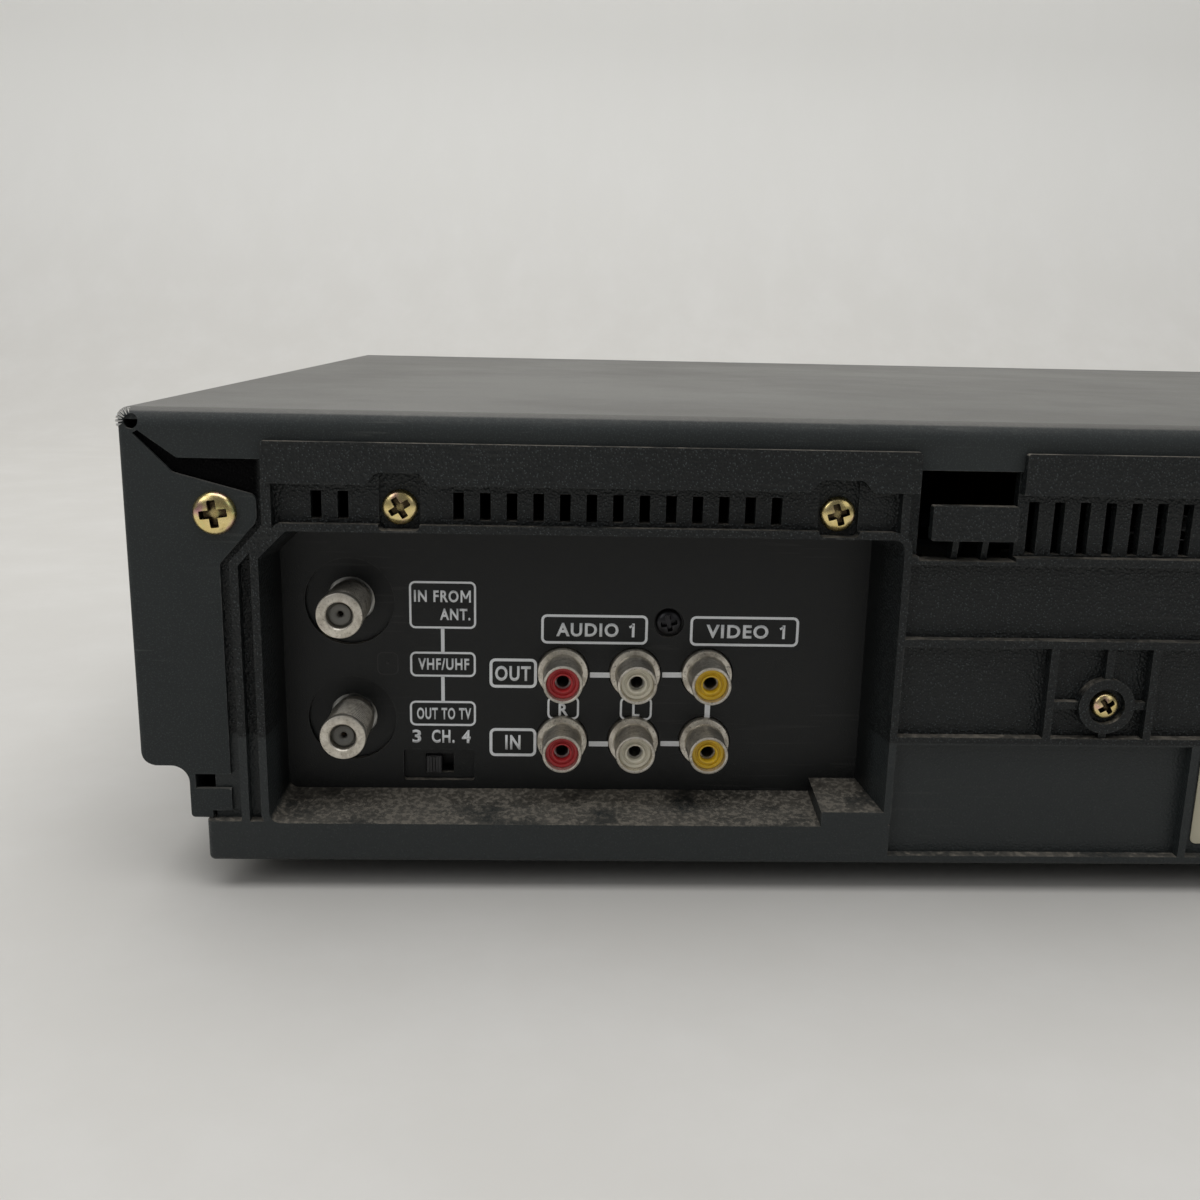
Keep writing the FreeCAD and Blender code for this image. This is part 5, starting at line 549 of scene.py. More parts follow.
def choose_rims(obj):
    """In edit mode, selects the edges round open holes."""
    choose_all(obj, "EDGE", "DESELECT")
    bpy.ops.mesh.select_non_manifold()


def leave_edit():
    bpy.ops.object.mode_set(mode="OBJECT")


def close_up():
    """Turns every face outwards and leaves edit mode."""
    bpy.ops.mesh.select_all(action="SELECT")
    bpy.ops.mesh.normals_make_consistent(inside=False)
    leave_edit()


def resize(across, along, up=1.0):
    """Scales what is selected about the origin."""
    bpy.ops.transform.resize(value=(across, along, up), center_override=(0, 0, 0))


def fit(obj, width, height, kind="FACE"):
    """In edit mode, centres a flat piece and gives it a width and a height in millimetres."""
    across = [vertex.co.x for vertex in obj.data.vertices]
    tall = [vertex.co.y for vertex in obj.data.vertices]
    choose_all(obj, kind)
    bpy.ops.transform.translate(value=(-(min(across) + max(across)) / 2, -(min(tall) + max(tall)) / 2, 0))
    resize(width * MM / (max(across) - min(across)), height * MM / (max(tall) - min(tall)))


def at(x, y, z):
    """A place given in millimetres."""
    return (x * MM, y * MM, z * MM)


def settle():
    """Settles the active object's place, turn and size into its mesh."""
    bpy.ops.object.transform_apply(location=True, rotation=True, scale=True)


def put(obj, location=(0, 0, 0), rotation=(0, 0, 0)):
    """Moves a finished piece to its place and settles the place into its mesh."""
    activate(obj)
    obj.location = location
    obj.rotation_euler = rotation
    settle()
    return obj


def copied(obj, name):
    """A copy with its own mesh."""
    twin = obj.copy()
    twin.data = obj.data.copy()
    twin.name = name
    twin.data.name = name
    bpy.context.collection.objects.link(twin)
    return twin


def joined(pieces, name):
    """Several objects made one."""
    settle_selection()
    for piece in pieces:
        piece.select_set(True)
    bpy.context.view_layer.objects.active = pieces[0]
    if len(pieces) > 1:
        bpy.ops.object.join()
    return named(name)


def modifier(obj, kind, **settings):
    """Adds a modifier and applies it."""
    activate(obj)
    made = obj.modifiers.new(kind.title(), kind)
    for key, value in settings.items():
        setattr(made, key, value)
    bpy.ops.object.modifier_apply(modifier=made.name)
    return obj


def bevelled(obj, width, segments=1):
    """Rounds the sharp edges, then smooths by angle."""
    modifier(obj, "BEVEL", width=width, segments=segments, limit_method="ANGLE",
             angle_limit=math.radians(35), harden_normals=False)
    activate(obj)
    bpy.ops.object.shade_smooth_by_angle(angle=math.radians(40))
    return obj


def wear_finish(obj, material, body=HOUSING):
    """Gives a piece its material, in its own material slot, and the body that it rides on."""
    obj.data.materials.clear()
    obj.data.materials.append(material)
    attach(obj, body)
    return obj


def dress(node_name, material):
    """Gives a carried-over CAD node its material."""
    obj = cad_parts[node_name]
    for slot in obj.material_slots:
        slot.material = material
    if not obj.material_slots:
        obj.data.materials.append(material)


def lathe(name, profile, steps=64):
    """A turned piece: a line of (radius, height) points spun about Z and closed at its axis."""
    obj = fresh("plane", name, size=1.0 * MM)
    bpy.ops.object.mode_set(mode="EDIT")
    mesh = bmesh.from_edit_mesh(obj.data)
    bmesh.ops.delete(mesh, geom=mesh.verts[:], context="VERTS")
    line = [mesh.verts.new((radius * MM, 0, height * MM)) for radius, height in profile]
    for first, second in zip(line, line[1:]):
        mesh.edges.new((first, second))
    bmesh.update_edit_mesh(obj.data)
    bpy.ops.mesh.select_all(action="SELECT")
    bpy.ops.mesh.spin(steps=steps, angle=math.tau, center=(0, 0, 0), axis=(0, 0, 1), dupli=False)
    bpy.ops.mesh.select_all(action="SELECT")
    bpy.ops.mesh.remove_doubles(threshold=0.000001)
    close_up()
    bpy.ops.object.shade_smooth_by_angle(angle=math.radians(38))
    return obj


# Terminals

QUARTER = math.radians(90)
TO_REAR = (-QUARTER, 0, 0)
TO_FRONT = (QUARTER, 0, 0)
SWITCH_FACE_Y = 137.25
SWITCH_Z = 22.4
FIRST_RIB_X = 155.55
RIB_STEP = 0.62
FRONT_PHONO_X = (150.0, 167.0, 184.0)
FRONT_PHONO_Z = 23.5
FRONT_PHONO_ROOT_Y = -140.4


def threaded_barrel():
    """An aerial socket's shell: flanged root, shallow thread, plain front band and a bored face."""
    shell = lathe("aerial_shell", [
        (2.72, 1.0), (2.72, 15.45), (2.95, 15.7), (4.35, 15.7), (4.62, 15.58), (4.74, 15.32), (4.74, 14.4),
        (4.6, 14.2), (4.36, 14.1), (4.36, 3.1), (4.2, 2.9), (4.2, 1.0), (2.72, 1.0)])
    ridge = fresh("circle", "aerial_thread", vertices=3, radius=sizes().thread_depth * 0.6,
                  fill_type="NGON", rotation=(QUARTER, 0, 0))
    settle()
    choose_all(ridge, "VERT")
    bpy.ops.transform.resize(value=(0.9, 1, 1.15))
    bpy.ops.transform.translate(value=(4.36 * MM, 0, 3.4 * MM))
    bpy.ops.mesh.delete(type="ONLY_FACE")
    leave_edit()
    modifier(ridge, "SCREW", screw_offset=sizes().thread_pitch, angle=math.tau, iterations=13, steps=40,
             render_steps=40, axis="Z", use_normal_calculate=True)
    choose_rims(ridge)
    bpy.ops.mesh.fill()
    close_up()
    return joined([shell, ridge], "aerial_barrel")


def aerial_core():
    """The grey core of an aerial socket, dished, with a slit contact behind its hole."""
    return lathe("aerial_core", [
        (0.0, 10.3), (0.35, 10.3), (0.62, 10.8), (0.62, 14.0), (0.85, 14.35), (1.2, 14.5), (1.95, 14.6),
        (2.15, 14.5), (2.22, 13.7), (2.7, 13.7), (2.7, 1.2), (0.0, 1.2)], 48)


class DECK_OT_aerial_sockets(bpy.types.Operator):
    """Threaded shells and cores of the two aerial sockets"""
    bl_idname = "deck.aerial_sockets"
    bl_label = "Aerial sockets"

    def execute(self, context):
        shells, cores, contacts = [], [], []
        for index, z in enumerate(AERIAL_Z):
            place = at(AERIAL_X, AERIAL_ROOT_Y, z)
            shells.append(put(threaded_barrel(), place, (TO_REAR[0], 0.7 * index, 0)))
            cores.append(put(aerial_core(), place, TO_REAR))
            contacts.append(self.contact(z, index))
        shell = joined(shells, "aerial_socket_shells")
        wear_finish(shell, tarnished_nickel())
        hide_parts("rf_connectors")
        core = joined(cores, "aerial_socket_cores")
        grey = plain_plastic("aerial_core", (0.115, 0.112, 0.10), 0.5, 4000.0, 0.1)
        wear_finish(core, grey)
        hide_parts("rf_insulators")
        contact = joined(contacts, "aerial_socket_contacts")
        wear_finish(contact, plain_metal("contact_bronze", (0.55, 0.42, 0.3), 0.35))
        return {"FINISHED"}

    def contact(self, z, index):
        """The folded spring that grips a plug's centre wire."""
        leaf = fresh("cube", "aerial_contact", size=1.0)
        leaf.scale = at(0.9, 1.0, 0.16)
        settle()
        choose(leaf, lambda middle, way: way.y > 0.5)
        bpy.ops.transform.translate(value=(0, 0, 0.14 * MM))
        leave_edit()
        modifier(leaf, "MIRROR", use_axis=(False, False, True), use_bisect_axis=(False, False, False))
        bevelled(leaf, 0.03 * MM)
        return put(leaf, at(AERIAL_X, AERIAL_CONTACT_Y, z), (0, 0.25 - 0.35 * index, 0))


def phono_shell():
    """A phono socket's sleeve: flared collar, straight barrel, rolled front edge."""
    return lathe("phono_shell", [
        (3.42, 1.2), (3.42, 11.1), (3.55, 11.38), (3.8, 11.5), (4.05, 11.38), (4.15, 11.1), (4.15, 3.7),
        (4.3, 3.5), (5.25, 3.42), (5.4, 3.2), (5.4, 0.4), (3.42, 0.4), (3.42, 1.2)], 64)


def phono_core():
    """The coloured insulator: stepped ring round the hole for the plug's pin."""
    return lathe("phono_core", [
        (1.65, 1.0), (1.65, 10.2), (1.8, 10.4), (2.05, 10.4), (2.15, 10.25), (2.2, 10.0), (2.55, 9.9),
        (2.75, 10.15), (3.25, 10.15), (3.4, 10.0), (3.4, 1.0), (1.65, 1.0)], 56)


def phono_contact():
    """The tinned contact tube deep in the hole."""
    return lathe("phono_contact", [
        (1.25, 1.2), (1.25, 8.6), (1.42, 8.8), (1.62, 8.8), (1.62, 1.2), (1.25, 1.2)], 40)


class DECK_OT_switch_ribs(bpy.types.Operator):
    """Grip ribs on the channel switch's knob"""
    bl_idname = "deck.switch_ribs"
    bl_label = "Switch ribs"

    def execute(self, context):
        ribs = []
        for index in range(5):
            rib = flat_plate("switch_rib", 0.3, 3.3, 0.05, 0.22 * MM)
            ribs.append(put(rib, at(FIRST_RIB_X + RIB_STEP * index, SWITCH_FACE_Y, SWITCH_Z), FACING_REAR))
        grip = joined(ribs, "switch_grip_ribs")
        black = plain_plastic("rib_plastic", (0.03, 0.03, 0.031), 0.45, 4000.0, 0.1)
        wear_finish(grip, black, "channel_switch_knob")
        return {"FINISHED"}


class DECK_OT_phono_sockets(bpy.types.Operator):
    """Sleeves, coloured insulators and contacts of the phono sockets"""
    bl_idname = "deck.phono_sockets"
    bl_label = "Phono sockets"

    def execute(self, context):
        sleeves, contacts = [], []
        bright = tarnished_nickel()
        for colour, x in PHONO_X.items():
            cores = []
            for z in PHONO_Z:
                for build, group in ((phono_shell, sleeves), (phono_core, cores), (phono_contact, contacts)):
                    group.append(put(build(), at(x, PHONO_ROOT_Y, z), TO_REAR))
            core = joined(cores, "phono_cores_" + colour)
            wear_finish(core, insulator("phono_" + colour, getattr(colours(), colour)))
            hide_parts("rca_insulators_" + colour)
        sleeve = joined(sleeves, "phono_sleeves")
        wear_finish(sleeve, bright)
        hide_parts("rca_sleeves")
        contact = joined(contacts, "phono_contacts")
        wear_finish(contact, plain_metal("tinned_contact", (0.45, 0.44, 0.42), 0.4))
        self.front_row()
        return {"FINISHED"}

    def front_row(self):
        """The row at the front, facing forwards."""
        sleeves, cores = [], []
        for x in FRONT_PHONO_X:
            for build, group in ((phono_shell, sleeves), (phono_core, cores)):
                group.append(put(build(), at(x, FRONT_PHONO_ROOT_Y, FRONT_PHONO_Z), TO_FRONT))
        sleeve = joined(sleeves, "front_phono_sleeves")
        wear_finish(sleeve, plain_metal("bright_nickel", (0.68, 0.65, 0.6), 0.22))
        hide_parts("front_jack_sleeves")
        core = joined(cores, "front_phono_cores")
        wear_finish(core, insulator("front_yellow", colours().yellow))
        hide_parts("front_jack_insulators")


# Printed marks, in millimetres on the recess floor: across X and up Z

FRAMES = (
    # middle x, middle z, width, height, line as a share of the usual line
    (154.60, 58.00, 14.0, 10.2, 0.9), (154.65, 45.05, 13.9, 5.5, 0.9), (154.75, 34.10, 14.1, 5.6, 0.9),
    (122.60, 53.10, 22.6, 6.4, 1.1), (90.70, 53.05, 23.2, 6.5, 1.1),
    (139.75, 43.25, 10.1, 6.5, 1.25), (139.75, 27.70, 10.1, 6.4, 1.25),
    (129.00, 35.60, 6.8, 5.2, 0.9), (113.35, 35.60, 6.9, 5.2, 0.9))
WORDS = (
    # words, middle x, middle z, width, cap height
    ("IN FRO", 155.92, 59.90, 9.34, 2.60), ("ANT.", 152.00, 56.00, 6.4, 2.55),
    ("VHF/UHF", 154.50, 45.10, 10.8, 2.60), ("OUT TO TV", 154.50, 34.05, 11.6, 2.65),
    ("3", 160.40, 28.90, 1.9, 3.0), ("CH.", 154.75, 28.90, 4.9, 3.0), ("4", 149.80, 28.90, 1.9, 3.0),
    ("OUT", 139.80, 43.20, 7.6, 3.35), ("IN", 139.75, 27.70, 3.3, 3.3),
    ("AUDIO", 124.10, 53.00, 13.2, 3.0), ("VIDEO", 92.20, 53.00, 13.3, 3.0),
    ("R", 128.95, 35.20, 2.1, 2.75), ("L", 113.35, 35.20, 1.6, 2.75))
BARS = (
    # middle x, middle z, width, height
    (154.65, 50.35, 0.75, 5.3), (154.70, 39.60, 0.75, 5.6),
    (121.25, 43.05, 4.3, 1.15), (105.75, 43.25, 4.3, 1.15),
    (121.25, 27.50, 4.2, 1.15), (105.65, 27.70, 4.3, 1.15), (97.90, 35.60, 1.15, 4.8))
LETTER_GAP = 1.14            # space between letters, of the usual
LETTER_WEIGHT = 0.03         # how far each letter's outline is thickened, of its size
ONES = ((114.70, 53.00), (82.60, 53.00))
WIDE_M = (149.77, 59.90)     # the last letter of the first word
STROKE_CORNER = 0.03
FACING_REAR = (QUARTER, 0, math.pi)
FACING_FRONT = (QUARTER, 0, 0)


def flat_plate(name, width, height, corner, thickness):
    """A thin plate with rounded corners that lies in XY and stands up from Z = 0."""
    plate = fresh("plane", name, size=1.0)
    choose_all(plate)
    bpy.ops.transform.resize(value=(width * MM, height * MM, 1))
    bpy.ops.mesh.bevel(offset=corner * MM, segments=5, affect="VERTICES")
    leave_edit()
    return modifier(plate, "SOLIDIFY", thickness=thickness, offset=1.0)


def printed_frame(width, height, line):
    """A rounded outline: a plate with its middle taken out."""
    plate = flat_plate("printed_frame", width, height, 1.25, sizes().print_thickness)
    choose(plate, lambda middle, way: abs(way.z) > 0.9)
    bpy.ops.mesh.inset(thickness=line, use_even_offset=True)
    bpy.ops.mesh.delete(type="FACE")
    choose_rims(plate)
    bpy.ops.mesh.bridge_edge_loops()
    close_up()
    return plate


def lettering(words, width, height, thickness):
    """Words in the built-in face, drawn to a width and a cap height, centred."""
    settle_selection()
    bpy.ops.object.text_add(location=(0, 0, 0))
    letters = bpy.context.object
    letters.data.body = words
    letters.data.size = 1.0
    letters.data.offset = LETTER_WEIGHT
    letters.data.space_character = LETTER_GAP
    letters.data.resolution_u = 4
    bpy.ops.object.convert(target="MESH")
    letters = named("lettering")
    fit(letters, width, height, "VERT")
    leave_edit()
    modifier(letters, "SOLIDIFY", thickness=thickness, offset=1.0)
    choose_all(letters)
    close_up()
    return letters


def numeral_one(height, thickness):
    """A plain figure one: an upright stroke with a short flag."""
    stem = put(flat_plate("numeral_one", 0.56, height, STROKE_CORNER, thickness), at(0.3, 0, 0))
    flag = flat_plate("flag", 0.95, 0.46, STROKE_CORNER, thickness)
    put(flag, at(-0.1, height / 2 - 0.6, 0), (0, 0, math.radians(34)))
    return joined([stem, flag], "numeral_one")


def letter_m(width, height, line, thickness):
    """A capital M: two stems, and two slanting strokes that meet low in the middle."""
    drop = height * 0.7
    reach = (width - line) / 2
    lean = math.atan2(reach, drop)
    strokes = []
    for side in (-1, 1):
        stem = flat_plate("letter_m", line, height, STROKE_CORNER, thickness)
        strokes.append(put(stem, at(side * reach, 0, 0)))
        slant = flat_plate("slant", line, math.hypot(reach, drop) * 0.95, STROKE_CORNER, thickness * 0.9)
        strokes.append(put(slant, at(side * reach / 2, (height - drop) / 2, 0), (0, 0, -side * lean)))
    return joined(strokes, "letter_m")


class DECK_OT_terminal_prints(bpy.types.Operator):
    """Frames, bars and plain words printed round the terminals"""
    bl_idname = "deck.terminal_prints"
    bl_label = "Terminal prints"

    def execute(self, context):
        thickness = sizes().print_thickness
        marks = []
        for x, z, width, height, share in FRAMES:
            marks.append((printed_frame(width, height, sizes().frame_line * share), x, z))
        for words, x, z, width, height in WORDS:
            marks.append((lettering(words, width, height, thickness), x, z))
        marks.append((letter_m(2.16, 2.6, 0.38, thickness),) + WIDE_M)
        for x, z in ONES:
            marks.append((numeral_one(3.0, thickness), x, z))
        for x, z, width, height in BARS:
            marks.append((flat_plate("printed_bar", width, height, 0.12, thickness), x, z))
        placed = [put(mark, at(x, RECESS_FLOOR_Y + PRINT_LIFT, z), FACING_REAR) for mark, x, z in marks]
        prints = joined(placed, "terminal_prints")
        wear_finish(prints, ink("printed_ink", colours().marks))
        return {"FINISHED"}


# Screws and small pieces of the housing

# Screws as (x, y, z, turn of the cross); the relief is the round hole at a corner of the cover
SCREW_HEIGHT = 1.8
COVER_SCREWS = ((197.2, 150.6, 79.0, 0.12), (-197.2, 150.6, 79.0, 0.9))
PANEL_SCREWS = ((161.6, 148.9, 80.5, 0.55), (75.2, 148.9, 80.5, 0.3))
BOSS_SCREWS = ((17.5, 150.3, 41.8, 0.6), (-105.5, 150.3, 41.8, 1.2))
TERMINAL_SCREWS = ((106.9, 136.7, 54.8, 0.2),)
RELIEF_X = 212.4
RELIEF_Y = 150.5
RELIEF_Z = 96.4
RELIEF_OUT = 2.62            # where the ridges end, out from the hole's middle
PLATE_LEFT = -5.0
PLATE_Z = 21.2


def cross_cutter(radius, high):
    """A tapered cross with rounded tips, which cuts a screw's drive."""
    arms = []
    for turn in (0.0, math.pi / 2):
        arm = fresh("cube", "cross_arm", size=1.0)
        choose_all(arm, "VERT")
        bpy.ops.transform.resize(value=at(radius * 1.66, radius * 0.5, 3.4))
        bpy.ops.transform.translate(value=(0, 0, (high + 0.2) * MM))
        choose(arm, lambda middle, way: way.z < -0.9)
        resize(0.62, 0.62)
        choose(arm, lambda middle, way: abs(way.z) > 0.5 * MM, "EDGE")
        bpy.ops.mesh.bevel(offset=radius * 0.05 * MM, segments=2)
        leave_edit()
        arms.append(put(arm, rotation=(0, 0, turn)))
    return arms


def cross_screw(name, radius, high, flat):
    """A cross-recess screw: shank, domed head and drive; flat says how wide its crown is."""
    head = lathe(name, [
        (0.0, -8.0), (1.05, -8.0), (1.5, -7.3), (1.5, -0.02), (radius * 0.985, 0.0),
        (radius, 0.16), (radius * 0.99, high * 0.34), (radius * 0.93, high * 0.58),
        (radius * 0.82, high * 0.77), (radius * flat, high * 0.93), (radius * flat * 0.55, high * 0.985),
        (0.0, high)], 56)
    for arm in cross_cutter(radius, high):
        modifier(head, "BOOLEAN", object=arm, operation="DIFFERENCE", solver="EXACT")
        bpy.data.objects.remove(arm, do_unlink=True)
    activate(head)
    bpy.ops.object.shade_smooth_by_angle(angle=math.radians(32))
    return head


def screw_row(name, places, radius, flat):
    """One screw model, copied and turned to each place."""
    model = cross_screw(name, radius, SCREW_HEIGHT, flat)
    made = []
    for x, y, z, turn in places:
        twin = put(copied(model, name), rotation=(0, 0, turn))
        made.append(put(twin, at(x, y, z), TO_REAR))
    bpy.data.objects.remove(model, do_unlink=True)
    return made


class DECK_OT_screws(bpy.types.Operator):
    """Cross-recess screws of the cover, the rear moulding and the terminals"""
    bl_idname = "deck.screws"
    bl_label = "Screws"

    def execute(self, context):
        zinc = zinc_plate()
        cover = joined(screw_row("cover_screw", COVER_SCREWS, 4.25, 0.6), "cover_screw_pair")
        wear_finish(cover, zinc)
        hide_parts("cover_screws")
        panel = joined(screw_row("panel_screw", PANEL_SCREWS, 3.5, 0.5)
                       + screw_row("boss_screw", BOSS_SCREWS, 2.8, 0.5), "panel_screw_set")
        wear_finish(panel, zinc)
        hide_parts("panel_screws")
        terminal = joined(screw_row("terminal_screw_head", TERMINAL_SCREWS, 2.8, 0.5), "terminal_black_screw")
        wear_finish(terminal, plain_metal("black_zinc", (0.045, 0.045, 0.048), 0.34))
        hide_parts("terminal_screw")
        return {"FINISHED"}


class DECK_OT_housing_details(bpy.types.Operator):
    """Blank plate, inspection mark and torn paint at the cover's folded corners"""
    bl_idname = "deck.housing_details"
    bl_label = "Housing details"

    def execute(self, context):
        width, height = sizes().plate_width / MM, sizes().plate_height / MM
        plate = flat_plate("blank_plate", width, height, 1.4, 0.22 * MM)
        bevelled(plate, 0.06 * MM)
        put(plate, at(PLATE_LEFT - width / 2, REAR_BAY_Y, PLATE_Z), FACING_REAR)
        wear_finish(plate, plate_paper())
        self.mark()
        self.torn_corners()
        return {"FINISHED"}

    def mark(self):
        """A faint square with a centre dot, left by a moulding pin."""
        square = printed_frame(4.5, 5.0, 0.22 * MM)
        dot = lathe("mark_dot", [(0.0, 0.0), (0.34, 0.0), (0.34, 0.1), (0.2, 0.14), (0.0, 0.14)], 24)
        put(square, at(166.3, RECESS_FLOOR_Y + PRINT_LIFT, 45.1), FACING_REAR)
        put(dot, at(166.3, RECESS_FLOOR_Y + PRINT_LIFT, 45.3), TO_REAR)
        mark = joined([square, dot], "moulding_mark")
        black = plain_plastic("mark_plastic", (0.007, 0.0073, 0.0073), 0.5, 4000.0, 0.1)
        wear_finish(mark, black)

    def torn_corners(self):
        """Short bare ridges where the sheet's paint tore as its corners were folded."""
        ridges = []
        for side in (1, -1):
            for turn, reach in ((-0.3, 1.0), (0.02, 1.3), (0.32, 1.15), (0.63, 1.4), (0.93, 1.1), (1.24, 1.3),
                                (1.56, 1.0)):
                ridges.append(self.ridge(side, turn, reach))
        torn = joined(ridges, "torn_paint_ridges")
        wear_finish(torn, plain_metal("bare_sheet", (0.72, 0.72, 0.70), 0.35))

    def ridge(self, side, turn, reach):
        """One wedge on the rim of the corner's relief hole, pointing at its middle."""
        wedge = fresh("cube", "ridge", size=1.0)
        choose_all(wedge, "VERT")
        bpy.ops.transform.resize(value=at(reach, 0.58, 0.55))
        choose(wedge, lambda middle, way: way.x < -0.9)
        bpy.ops.transform.resize(value=(1, 0.2, 0.5))
        leave_edit()
        bevelled(wedge, 0.06 * MM, 2)
        middle = RELIEF_OUT - reach / 2
        place = at(side * (RELIEF_X + math.cos(turn) * middle), RELIEF_Y, RELIEF_Z + math.sin(turn) * middle)
        lean = turn if side > 0 else math.pi - turn
        return put(wedge, place, (QUARTER, -lean, 0))


# Front: symbols on the buttons and the display behind its window

SYMBOLS = {
    # button: (x, z, face y, pieces); a piece is (kind, x, z, width, height) from the button's middle
    "power_button": (-178.0, 76.5, -151.54, (("ring", 0, -0.3, 4.6, 4.6), ("bar", 0, 1.9, 0.7, 2.6))),
    "eject_button": (108.0, 80.5, -151.25, (("up", 0, 0.6, 3.6, 2.2), ("bar", 0, -1.3, 3.6, 0.7))),
    "record_button": (146.0, 80.5, -151.25, (("disc", 0, 0, 3.0, 3.0),)),
    "pause_button": (178.5, 80.5, -151.25, (("bar", -0.9, 0, 0.9, 3.2), ("bar", 0.9, 0, 0.9, 3.2))),
    "play_button": (146.0, 62.5, -152.10, (("right", 0, 0, 3.6, 4.0),)),
    "stop_button": (146.0, 47.0, -152.10, (("bar", 0, 0, 3.4, 3.4),)),
    "rewind_button": (113.5, 55.0, -152.10, (("left", -1.5, 0, 2.8, 3.4), ("left", 1.5, 0, 2.8, 3.4))),
    "channel_rocker": (-178.0, 48.5, -152.10, (("up", 0, 8.0, 3.4, 2.6), ("down", 0, -8.0, 3.4, 2.6))),
    "forward_button": (178.5, 55.0, -152.10, (("right", -1.5, 0, 2.8, 3.4), ("right", 1.5, 0, 2.8, 3.4))),
}
POINTING = {"right": -90.0, "left": 90.0, "up": 0.0, "down": 180.0}
SEGMENTS = {"0": "abcdef", "1": "bc", "2": "abged"}
DISPLAY_X = -20.0
DISPLAY_Y = -149.05
DISPLAY_Z = 40.5
FIGURE_STEP = 13.0


def flat_shape(kind, width, height, thickness):
    """A flat symbol in XY: bar, disc, ring or a pointing triangle."""
    if kind == "bar":
        return flat_plate("symbol", width, height, 0.1, thickness)
    sides = 3 if kind in POINTING else 40
    shape = fresh("circle", "symbol", vertices=sides, radius=1.0 * MM, fill_type="NGON")
    put(shape, rotation=(0, 0, math.radians(POINTING.get(kind, 0.0))))
    fit(shape, width, height)
    if kind == "ring":
        bpy.ops.mesh.inset(thickness=0.65 * MM)
        bpy.ops.mesh.delete(type="FACE")
    leave_edit()
    return modifier(shape, "SOLIDIFY", thickness=thickness, offset=1.0)


class DECK_OT_button_symbols(bpy.types.Operator):
    """Plain symbols printed on the push buttons and the channel rocker"""
    bl_idname = "deck.button_symbols"
    bl_label = "Button symbols"

    def execute(self, context):
        paint = ink("printed_ink", colours().marks)
        thickness = sizes().print_thickness
        for button, (x, z, y, pieces) in SYMBOLS.items():
            made = [put(flat_shape(kind, wide, tall, thickness),
                        at(x + across, y - PRINT_LIFT, z + rise), FACING_FRONT)
                    for kind, across, rise, wide, tall in pieces]
            mark = joined(made, button + "_symbol")
            wear_finish(mark, paint, button)
        return {"FINISHED"}


def digit(character, width, height):
    """One seven-segment figure as flat bars round its own middle."""
    line = width * 0.16
    half, tall = width / 2 - line / 2, height / 2 - line / 2
    places = {
        "a": (0, tall, width * 0.8, line), "g": (0, 0, width * 0.8, line), "d": (0, -tall, width * 0.8, line),
        "b": (half, tall / 2, line, tall * 0.84), "c": (half, -tall / 2, line, tall * 0.84),
        "f": (-half, tall / 2, line, tall * 0.84), "e": (-half, -tall / 2, line, tall * 0.84)}
    if character == ":":
        dots = ((0, height * 0.2), (0, -height * 0.2))
        return [(x, z, line * 1.2, line * 1.2) for x, z in dots]
    return [places[key] for key in SEGMENTS[character]]


class DECK_OT_display_figures(bpy.types.Operator):
    """Unlit figures of the clock behind the smoked window"""
    bl_idname = "deck.display_figures"
    bl_label = "Display figures"

    def execute(self, context):
        bars = []
        thickness = sizes().print_thickness
        for index, character in enumerate("12:00"):
            x = DISPLAY_X + (index - 2) * FIGURE_STEP
            for across, rise, wide, tall in digit(character, 8.5, 14.0):
                bar = flat_plate("segment", wide, tall, 0.3, thickness)
                bars.append(put(bar, at(x + across, DISPLAY_Y, DISPLAY_Z + rise), FACING_FRONT))
        figures = joined(bars, "display_figures")
        wear_finish(figures, ink("display_phosphor", (0.30, 0.42, 0.40)))
        return {"FINISHED"}


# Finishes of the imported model's own nodes

BUTTONS = ("power_button", "eject_button", "play_button", "stop_button", "rewind_button", "forward_button",
           "pause_button", "record_button", "channel_rocker")


def mouldings():
    """Plastic and rubber: name, colour, roughness, grain scale, bump, wear and dust, then the nodes."""
    look = colours()
    return (
        ("bezel_plastic", look.bezel, 0.42, 2600.0, 0.25, 0.2, 0.06, ("front_panel",)),
        ("chassis_plastic", look.rear, 0.5, 1800.0, 0.4, 0.3, 0.3, ("chassis_tray",)),
        ("foot_plastic", (0.02, 0.02, 0.021), 0.55, 2200.0, 0.2, 0.2, 0.1, ("feet",)),
        ("door_plastic", look.bezel, 0.36, 3200.0, 0.18, 0.15, 0.05, ("cassette_door",)),
        ("button_plastic", look.button, 0.38, 3600.0, 0.12, 0.3, 0.04, BUTTONS),
        ("block_plastic", (0.016, 0.016, 0.017), 0.45, 3000.0, 0.15, 0.15, 0.05,
         ("jack_block", "channel_switch_body", "channel_switch_knob", "mains_inlet")),
        ("belt_rubber", (0.022, 0.022, 0.023), 0.62, 5200.0, 0.2, 0.0, 0.03,
         ("drive_belt", "idler_wheel", "pinch_roller")),
        ("reel_plastic", (0.46, 0.45, 0.42), 0.42, 3200.0, 0.08, 0.15, 0.05,
         ("supply_reel_table", "take_up_reel_table", "clutch")),
        ("gear_plastic", (0.62, 0.6, 0.54), 0.4, 3600.0, 0.08, 0.15, 0.05, ("cam_gear", "idler_arm")),
        ("guide_plastic", (0.13, 0.125, 0.12), 0.45, 3200.0, 0.1, 0.15, 0.05,
         ("supply_tape_guide", "take_up_tape_guide", "carriage_sliders")),
    )


